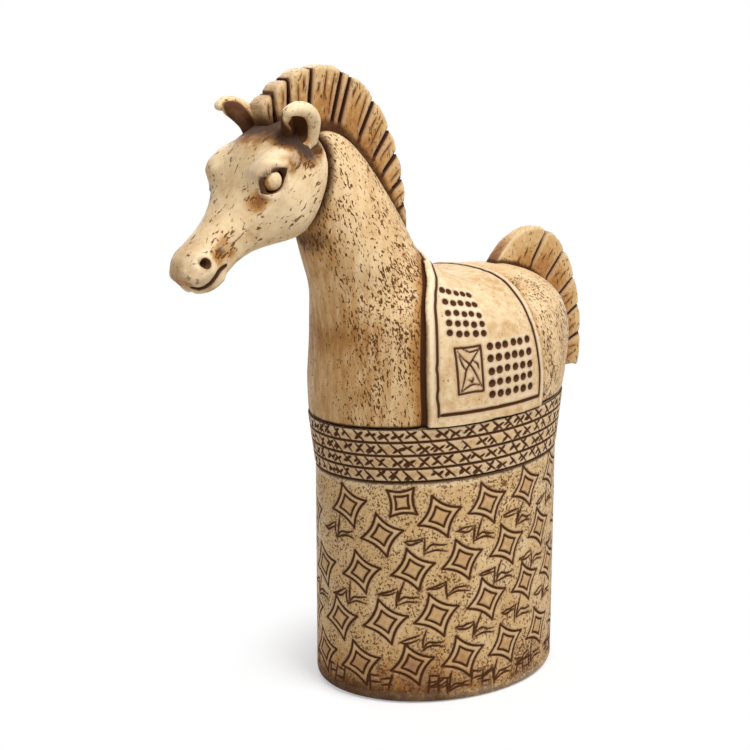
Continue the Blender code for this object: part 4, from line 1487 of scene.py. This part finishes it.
class DressHead(bpy.types.Operator):
    """Head with lids, brows, nostrils, mouth and cheeks."""

    bl_idname = "horse.dress_head"
    bl_label = "Dress head"

    def execute(self, context):
        own = HeadFrame()
        head = skin_of("head", "head_skin", *HEAD_SKIN)
        carving = Carving(head)
        for side in SIDES:
            def laid(rows):
                return carving.lay(own.point(smooth_path(rows, 5), side))

            for path, reach, height in (*HEAD_SWELLS, (lid(1), *UPPER_LID), (lid(-1), *LOWER_LID)):
                carving.swell(laid(path), reach * MM, height * MM)
            nostril = carving.lay([own.point(NOSTRIL, side)])[0]
            reach, height, width, depth = (size * MM for size in NOSTRIL_SIZES)
            carving.swell([nostril, nostril + 0.1 * MM], reach, height)
            carving.pit(nostril, width, depth)
            carving.stroke(laid(MOUTH), MOUTH_SIZES[0] * MM, MOUTH_SIZES[1] * MM, 0.35)
        dish = lid_share(own.rows(carving.points))
        carving.edge = np.minimum(carving.edge, (dish - 0.95) * 2.4 * MM)
        carving.depth += DISH_DEPTH * MM * fade(dish, 1.0, 0.5)
        carving.finish()
        even_out(head, 2, fade(dish, 3.0, 1.2))
        points = points_of(head)
        points[:, 0] = held_above(points[:, 0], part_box("head")[0].x, MUZZLE_SOFT)
        move_points(head, points)
        rows = own.rows(points)
        # Painted shade at the poll, near the mane and the ears, put into the stain and shade field too
        poll_shade = np.maximum.reduce([
            1.25 * touching(points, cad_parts["mane_crest"], 10.2 * MM),
            *(touching(points, bpy.data.objects[node + "_skin"], 6.0 * MM) for _, node in EARS),
        ])
        # Painted shade at the throat, under the jaw
        throat_shade = fade(rows[:, 0], 6, -8) * fade(rows[:, 1], -16, -26)
        stain = spots_field(rows, HEAD_STAINS) + 0.9 * fade(poll_shade, 0.02, 0.5) + 0.5 * throat_shade
        # Painted shade where the head meets the neck
        neck = touching(points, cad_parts["torso_and_neck"], 2.6 * MM)
        speckled = 0.12 + 0.6 * np.clip(stain, 0, 1) + spots_field(rows, HEAD_DASHES)
        grime = np.maximum.reduce([poll_shade, neck, 0.5 * throat_shade])
        finish = resin(
            "head_ivory", "ivory", cloud=30, warm=0.4, grain=(1.5, 1.5, 4.0), turn=48, wear=0.25, cold=True
        )
        dress(head, finish, speckled, grime, stain)
        place(head, "head", "ivory_resin")
        return {"FINISHED"}


def ear_frame(side):
    """Axes of an ear, which stands on its root and curls towards -X."""
    above = EAR_ABOVE + max(side, 0) * RIGHT_EAR_RAISE
    spot = Matrix.Translation(Vector(HeadFrame().point((EAR_ALONG, above, side * EAR_OUT))))
    return spot @ Euler((-side * EAR_SPLAY, -EAR_LEAN, HEAD_TURN)).to_matrix().to_4x4()


def tube(rows, sides=16):
    """Points and faces of a closed roll along a path; each row holds a point and a radius."""
    rows = np.asarray(rows, float)
    path, radii = rows[:, :3], rows[:, 3]
    ways = np.gradient(path, axis=0)
    ways /= np.linalg.norm(ways, axis=1)[:, None]
    first, last = (ways[k] * radii[k] * CAP_REACH for k in (0, -1))
    path = np.vstack([path[0] - first, path, path[-1] + last])
    ways = np.vstack([ways[:1], ways, ways[-1:]])
    radii = np.concatenate([radii[:1] * CAP_WIDTH, radii, radii[-1:] * CAP_WIDTH])
    turns = np.arange(sides) * 2 * math.pi / sides
    rings = []
    for spot, way, radius in zip(path, ways, radii):
        across = np.cross(way, ROLL_SIDE)
        across /= np.linalg.norm(across)
        up = np.cross(way, across)
        rings.append(spot + radius * (np.outer(np.cos(turns), across) + np.outer(np.sin(turns), up)))
    faces = grid_faces(len(rings), sides, False, True).tolist()
    last = (len(rings) - 1) * sides
    faces += [list(range(sides))[::-1], [last + k for k in range(sides)]]
    return np.vstack(rings), faces


def ear_rolls(side):
    """All the rolls that one ear is pressed from."""
    mirror = [1, side, 1, 1]
    rear, inner = smooth_path(EAR_REAR_RIM, 6), smooth_path(EAR_INNER_RIM, 6)
    rolls = [rear, inner, smooth_path(EAR_ROOT, 4)]
    for share in np.linspace(0, 1, EAR_WALL_STEPS):
        a, b = rear[round(share * EAR_WALL_TOP * (len(rear) - 1))], inner[round(share * (len(inner) - 1))]
        middle = (a + b) / 2 - [0, EAR_WALL_BULGE * (1 - 0.6 * share), 0, 0]
        wall = smooth_path((a, middle, b), 5)
        wall[:, 3] = EAR_WALL_RADIUS
        rolls.append(wall)
    return [roll * mirror for roll in rolls]


class DressEars(bpy.types.Operator):
    """Curled ears: a thick rolled rim round a dark hollow."""

    bl_idname = "horse.dress_ears"
    bl_label = "Dress ears"

    def execute(self, context):
        finish = resin("ear_ivory", "ivory", cloud=20, warm=0.3, grain=(1.2, 1.2, 2.2), wear=0.2)
        for side, node in EARS:
            axes = np.array(ear_frame(side))
            points, faces = [], []
            for roll in ear_rolls(side):
                more, sides = tube(roll)
                faces += [[k + len(points) for k in face] for face in sides]
                points += (more * EAR_SIZE * MM @ axes[:3, :3].T + axes[:3, 3]).tolist()
            ear = dense_skin(mesh_item(node + "_skin", points, faces), *EAR_SKIN)
            local = (points_of(ear) - axes[:3, 3]) @ axes[:3, :3] / MM * [1, side, 1] / EAR_SIZE
            gap = gaps_to(smooth_path(EAR_HOLLOW_LINE, 8), local)
            store(ear, "carved", 5 - 5.5 * fade(gap, 5.2, 3.8))
            keep_hollows(ear)
            # Stain and painted shade on the lower inner wall
            lobe = fade(local[:, 1], -1.5, -3.5) * fade(local[:, 0], -5.0, -7.5)
            # Painted shade on the inner side of the base, where the ear meets the head
            root = fade(local[:, 2], 9.0, 1.0) * fade(local[:, 1], -2.0, -4.5)
            dress(ear, finish, 0.3, np.maximum(root, 0.85 * lobe), 1.5 * lobe + 0.6 * fade(gap, 7.0, 4.0))
            place(ear, node, "ivory_resin")
        return {"FINISHED"}


class DressEyes(bpy.types.Operator):
    """Eye beads, stained towards their edge, with painted shade on the side that sits in the head."""

    bl_idname = "horse.dress_eyes"
    bl_label = "Dress eyes"

    def execute(self, context):
        finish = resin("eye_ivory", "ivory", cloud=8, warm=0.4, grain=(0.8, 0.8, 1.0), wear=0.0)
        own = HeadFrame()
        for side, node in EYES:
            eye = skin_of(node, node + "_skin", *EYE_SKIN)
            rows = own.rows(points_of(eye))
            out = side * (rows[:, 2] - rows[:, 2].mean()) / np.ptp(rows[:, 2])
            # Painted shade on the side of the bead that sits in the head
            dress(eye, finish, 0.0, fade(out, 0.2, 0.05), 0.15 + 0.8 * fade(out, 0.4, 0.2))
            place(eye, node, "ivory_resin")
        return {"FINISHED"}


# Mane and tail

# Rim of a comb: step of its outline in radians, and the least share that counts as rim
RIM_STEP = 0.02
RIM_LEAST = 0.94
# Corners of the locks: how far they drop, beside a slot over this reach, this far down from the rim
LOCK_ROUND = 1.1 * MM
LOCK_EDGE = 1.8 * MM
LOCK_TOP = 12 * MM
# How far the slots run out past the rim
SLOT_PAST = 2 * MM
# Skins of mane and tail: size of a voxel, rounds of smoothing
MANE_SKIN = (0.5 * MM, 18)
TAIL_SKIN = (0.5 * MM, 16)


class Comb:
    """A plate on the middle plane whose rim is an oval arc, sawn into locks.

    Its radii are those to the rear, to the front and upwards. Each slot has its rim angle and its depth.
    """

    def __init__(self, centre, radii, slots, aim, width, floors, thickness):
        self.centre = np.array(centre) * MM
        self.rear, self.front, self.height = (r * MM for r in radii)
        self.slots = slots
        self.aim = np.array(aim) * MM
        self.width = width * MM
        self.floors = floors
        self.thickness = thickness * MM

    def rim(self, degrees):
        turn = math.radians(degrees)
        reach = self.rear if math.cos(turn) > 0 else self.front
        return self.centre + (reach, self.height) * heading(turn)

    def inward(self, degrees, depth):
        """A point some way in from the rim, towards the point that all the slots aim at."""
        start = self.rim(degrees)
        way = self.aim - start
        return start + way / np.linalg.norm(way) * depth

    def cuts(self):
        """Ends and width of the slots."""
        ends = zip(self.slots, self.floors)
        return [(self.inward(a, -SLOT_PAST), self.inward(a, depth * MM), self.width) for a, depth in ends]

    def rim_share(self, flat):
        """How far out towards the rim points lie."""
        away = (flat - self.centre) / [[self.rear, self.height]]
        away[:, 0] *= np.where(flat[:, 0] < self.centre[0], self.rear / self.front, 1.0)
        return np.hypot(*away.T)

    def round_off(self, carving):
        """Draws the rim out to its oval, and down beside the slots, so that every lock has a round top."""
        flat = carving.points[:, [0, 2]]
        share = self.rim_share(flat)
        away = flat - self.centre
        turn = np.arctan2(away[:, 1], away[:, 0])
        bins = np.round(turn / RIM_STEP).astype(int)
        tops = np.zeros(np.ptp(bins) + 1)
        np.maximum.at(tops, bins - bins.min(), share)
        short = np.where(tops > RIM_LEAST, 1 - tops, 0.0)[bins - bins.min()]
        grow = short * fade(share, 0.8, 0.95)
        for start, end, width in self.cuts():
            way = (end - start) / np.linalg.norm(end - start)
            gap = np.abs((flat - start) @ np.array([-way[1], way[0]])) - width / 2
            near = np.linalg.norm(flat - start, axis=1) < LOCK_TOP
            grow -= LOCK_ROUND / self.height * near * bell(gap, LOCK_EDGE) * fade(share, 0.85, 1.0)
        carving.points[:, [0, 2]] += away * grow[:, None]


MANE = Comb(
    centre=(-72, 225),
    radii=(48.5, 53, 75),
    slots=(8.4, 17.9, 27.8, 38, 53, 71, 77, 96.5, 111, 121),
    aim=(-88, 194),
    width=2.0,
    floors=(7, 11, 15, 18, 22, 25, 25, 25, 22, 18),
    thickness=11,
)
TAIL = Comb(
    centre=(61, 158),
    radii=(34, 39, 60),
    slots=(2.5, 17, 33, 52, 76),
    aim=(11, 123.5),
    width=1.4,
    floors=(20, 22, 24, 26, 26),
    thickness=8,
)
# First lock of the tail: rim angles and root points that carry it down to the rump
TAIL_SWEEP = (112, 119, 126, 132, 138)
TAIL_SWEEP_ROOT = ((38, 194), (50, 190), (56, 196))
# Scratches of a comb: rim angle, start and length in from the rim
MANE_SCRATCHES = (
    (1.5, 3.0, 5.0), (13.0, 2.6, 5.5), (22.0, 3.0, 6.0), (33.5, 3.2, 9.0),
    (44.0, 4.0, 13.0), (48.0, 6.0, 6.0), (58.5, 3.5, 14.0), (62.5, 5.0, 7.0),
    (66.5, 4.0, 5.0), (81.5, 3.4, 15.0), (87.0, 3.0, 13.0), (91.0, 8.0, 4.0),
    (101.0, 4.0, 6.0), (105.0, 6.0, 9.0), (115.0, 4.0, 6.0), (125.0, 3.0, 7.0),
)
TAIL_SCRATCHES = (
    (-6.0, 6.0, 6.0), (-3.0, 4.0, 5.0), (9.0, 5.0, 6.0), (24.0, 5.0, 7.0),
    (28.0, 9.0, 3.0), (41.0, 6.0, 5.0), (45.0, 10.0, 4.0), (62.0, 7.0, 5.0),
    (66.0, 12.0, 4.0), (90.0, 12.0, 5.0), (95.0, 16.0, 5.0),
)


def dress_comb(item, comb, scratches):
    """Scratches and slots of a comb; gives its points and how far out towards the rim they lie."""
    hand = random.Random(item.name)
    carving = Carving(item)
    for side in SIDES:
        for degrees, start, run in scratches:
            lean = hand.uniform(-1.2, 1.2)
            path = []
            for k in range(4):
                x, z = comb.inward(degrees + lean * k / 3, (start + run * k / 3) * MM)
                path.append((x + hand.uniform(-0.25, 0.25) * MM, side * comb.thickness / 2, z))
            carving.stroke(np.array(path), hand.uniform(0.4, 0.6) * MM, 0.4 * MM, 0.7)
    comb.round_off(carving)
    carving.slots(comb.cuts())
    carving.finish()
    points = points_of(item)
    return points, comb.rim_share(points[:, [0, 2]])


def tail_skin():
    """The tail fan, with its first lock carried down to the rump."""
    rim = [TAIL.rim(degrees) for degrees in TAIL_SWEEP]
    outline = [*rim, *np.array(TAIL_SWEEP_ROOT) * MM]
    count, half = len(outline), TAIL.thickness / 2
    sides = [[k, (k + 1) % count, count + (k + 1) % count, count + k] for k in range(count)]
    caps = [list(range(count))[::-1], list(range(count, 2 * count))]
    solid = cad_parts["tail_fin"].data
    old = read(solid.vertices, "co", 3).tolist()
    faces = [list(face.vertices) for face in solid.polygons]
    faces += [[k + len(old) for k in face] for face in sides + caps]
    points = old + [(x, y, z) for y in (half, -half) for x, z in outline]
    return dense_skin(mesh_item("tail_skin", points, faces), *TAIL_SKIN)


class DressCombs(bpy.types.Operator):
    """Mane crest and tail fan with scratched locks."""

    bl_idname = "horse.dress_combs"
    bl_label = "Dress mane and tail"

    def execute(self, context):
        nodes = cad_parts
        mane = skin_of("mane_crest", "mane_skin", *MANE_SKIN)
        points, share = dress_comb(mane, MANE, MANE_SCRATCHES)
        # Painted shade where the mane meets the body and the head
        body = touching(points, nodes["torso_and_neck"], 3.2 * MM)
        head = touching(points, nodes["head"], 5.4 * MM)
        low = fade(points[:, 2], 245 * MM, 215 * MM)
        stain = 0.18 + 0.8 * fade(share, 1.0, 0.68) + 0.35 * low
        finish = resin("mane_resin", "tan", cloud=14, warm=0.55, grain=(1.2, 1.2, 3.0), halo=0.7, wear=0.2)
        dress(mane, finish, 0.4, 0.9 * np.maximum(body, head), stain)
        place(mane, "mane_crest", "comb_resin")
        tail = tail_skin()
        points, share = dress_comb(tail, TAIL, TAIL_SCRATCHES)
        # Painted shade where the tail meets the body, and on faces near the root that look forward
        body = touching(points, nodes["torso_and_neck"], 2.2 * MM)
        ahead = fade(-normals_of(tail)[:, 0], 0.35, 0.85) * fade(points[:, 0], 62 * MM, 48 * MM)
        stain = 0.15 + 0.85 * fade(share, 0.97, 0.62) + ahead
        finish = resin("tail_resin", "tan", cloud=14, warm=0.45, grain=(1.2, 1.2, 2.4), halo=0.6, wear=0.2)
        dress(tail, finish, 0.35, np.maximum(body, 0.55 * ahead), stain)
        place(tail, "tail_fin", "comb_resin")
        return {"FINISHED"}


class DressHidden(bpy.types.Operator):
    """Finishes of the base plate and the dowel, whose castings stay."""

    bl_idname = "horse.dress_hidden"
    bl_label = "Dress base plate and dowel"

    def execute(self, context):
        finish = context.scene.horse_finish
        for node, name, tone, metal in (
            ("base_plate", "base_plate_resin", finish.ochre, 0.0),
            ("head_dowel", "dowel_brass", finish.brass, 1.0),
        ):
            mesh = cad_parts[node].data
            mesh.materials.clear()
            mesh.materials.append(plain_finish(name, tone, metal))
        return {"FINISHED"}


# Stage

FLOOR_HALF = 3.0
# Distances from the drum's axis between which the floor turns from shaded to plain white
FLOOR_GLOW = (0.03, 0.11)
ROOM_LIGHT = 0.24
ROOM_TINT = (1.0, 0.985, 0.96, 1)
# Lamps: name, place, width, power
LAMPS = (
    ("key", (0.2, -0.8, 1.4), 1.0, 24.0),
    ("fill", (-0.95, -0.65, 0.75), 0.7, 3.6),
    ("back", (0.2, 0.95, 0.9), 0.8, 6.0),
)
LAMP_AIM = Vector((0, 0, 0.15))
SENSOR_WIDTH = 36


class BuildStage(bpy.types.Operator):
    """Pale floor, soft light and the camera."""

    bl_idname = "horse.build_stage"
    bl_label = "Build stage"

    def execute(self, context):
        stage = context.scene.horse_stage
        build_floor(stage)
        build_lights(context.scene)
        build_camera(context.scene, stage)
        context.scene.view_settings.view_transform = "Standard"
        return {"FINISHED"}


def build_floor(stage):
    """A floor that shows plain white but for the shadow, and throws back less light."""
    reach = (-FLOOR_HALF, FLOOR_HALF)
    floor = grid_item("floor", np.array([[[x, y, 0.0] for x in reach] for y in reach]))
    made, wires, shader, where = new_material("pale_floor")
    seen = wires.seen()
    wires.feed(shader.inputs["Base Color"], wires.mix(seen, rgba(stage.bounce), rgba(stage.floor)))
    shader.inputs["Roughness"].default_value = 0.9
    far = wires.add("ShaderNodeVectorMath", {0: where}, operation="LENGTH").outputs["Value"]
    share = wires.times(wires.span(far, *FLOOR_GLOW), seen)
    glow = wires.add("ShaderNodeEmission", {"Color": WHITE, "Strength": 1.0})
    wires.finish("Material Output", share, shader, glow)
    floor.data.materials.append(made)


def build_lights(scene):
    """A dim warm room that looks white, and three lamps."""
    world = bpy.data.worlds.new("soft_room")
    scene.world = world
    world.use_nodes = True
    wires = Wires(world.node_tree)
    light = world.node_tree.nodes["Background"]
    light.inputs["Strength"].default_value = ROOM_LIGHT
    light.inputs["Color"].default_value = ROOM_TINT
    white = wires.add("ShaderNodeBackground", {"Color": WHITE, "Strength": 1.0})
    wires.finish("World Output", wires.seen(), light, white)
    for name, spot, size, power in LAMPS:
        lamp = bpy.data.lights.new(name, "AREA")
        lamp.shape = "DISK"
        lamp.size = size
        lamp.energy = power
        item = link(bpy.data.objects.new(name, lamp))
        item.location = spot
        item.rotation_euler = (LAMP_AIM - Vector(spot)).to_track_quat("-Z", "Y").to_euler()


def build_camera(scene, stage):
    lens = bpy.data.cameras.new("camera")
    lens.lens = stage.lens
    lens.sensor_width = SENSOR_WIDTH
    camera = link(bpy.data.objects.new("camera", lens))
    turn = Matrix.Rotation(stage.azimuth + stage.yaw, 4, "Z")
    down = Matrix.Rotation(math.pi / 2 - stage.pitch, 4, "X")
    spot = (stage.distance * math.sin(stage.azimuth), -stage.distance * math.cos(stage.azimuth), stage.height)
    camera.matrix_world = Matrix.Translation(spot) @ turn @ down
    scene.camera = camera


class DressingPanel(bpy.types.Panel):
    """Lists the steps of the dressing."""

    bl_idname = "VIEW3D_PT_horse_dressing"
    bl_label = "Horse ornament"
    bl_space_type = "VIEW_3D"
    bl_region_type = "UI"
    bl_category = "Horse"

    def draw(self, context):
        for group in SETTINGS:
            box = self.layout.box()
            owner = getattr(context.scene, group)
            for field in owner.bl_rna.properties:
                if field.identifier not in ("rna_type", "name"):
                    box.prop(owner, field.identifier)
        for step in STEPS:
            self.layout.operator(step.bl_idname)


SETTINGS = {
    "horse_drum": DrumSettings,
    "horse_girdle": GirdleSettings,
    "horse_cloth": ClothSettings,
    "horse_finish": FinishSettings,
    "horse_stage": StageSettings,
}
STEPS = (
    DressPedestal,
    DressGirdle,
    DressCombs,
    DressTorso,
    DressCloth,
    DressEars,
    DressEyes,
    DressHead,
    DressHidden,
    BuildStage,
)


def register():
    for name, group in SETTINGS.items():
        bpy.utils.register_class(group)
        setattr(bpy.types.Scene, name, PointerProperty(type=group))
    for step in (*STEPS, DressingPanel):
        bpy.utils.register_class(step)


def unregister():
    for step in reversed((*STEPS, DressingPanel)):
        bpy.utils.unregister_class(step)
    for name, group in SETTINGS.items():
        delattr(bpy.types.Scene, name)
        bpy.utils.unregister_class(group)


def main():
    register()
    for step in STEPS:
        family, name = step.bl_idname.split(".")
        getattr(getattr(bpy.ops, family), name)()


if __name__ == "__main__":
    main()
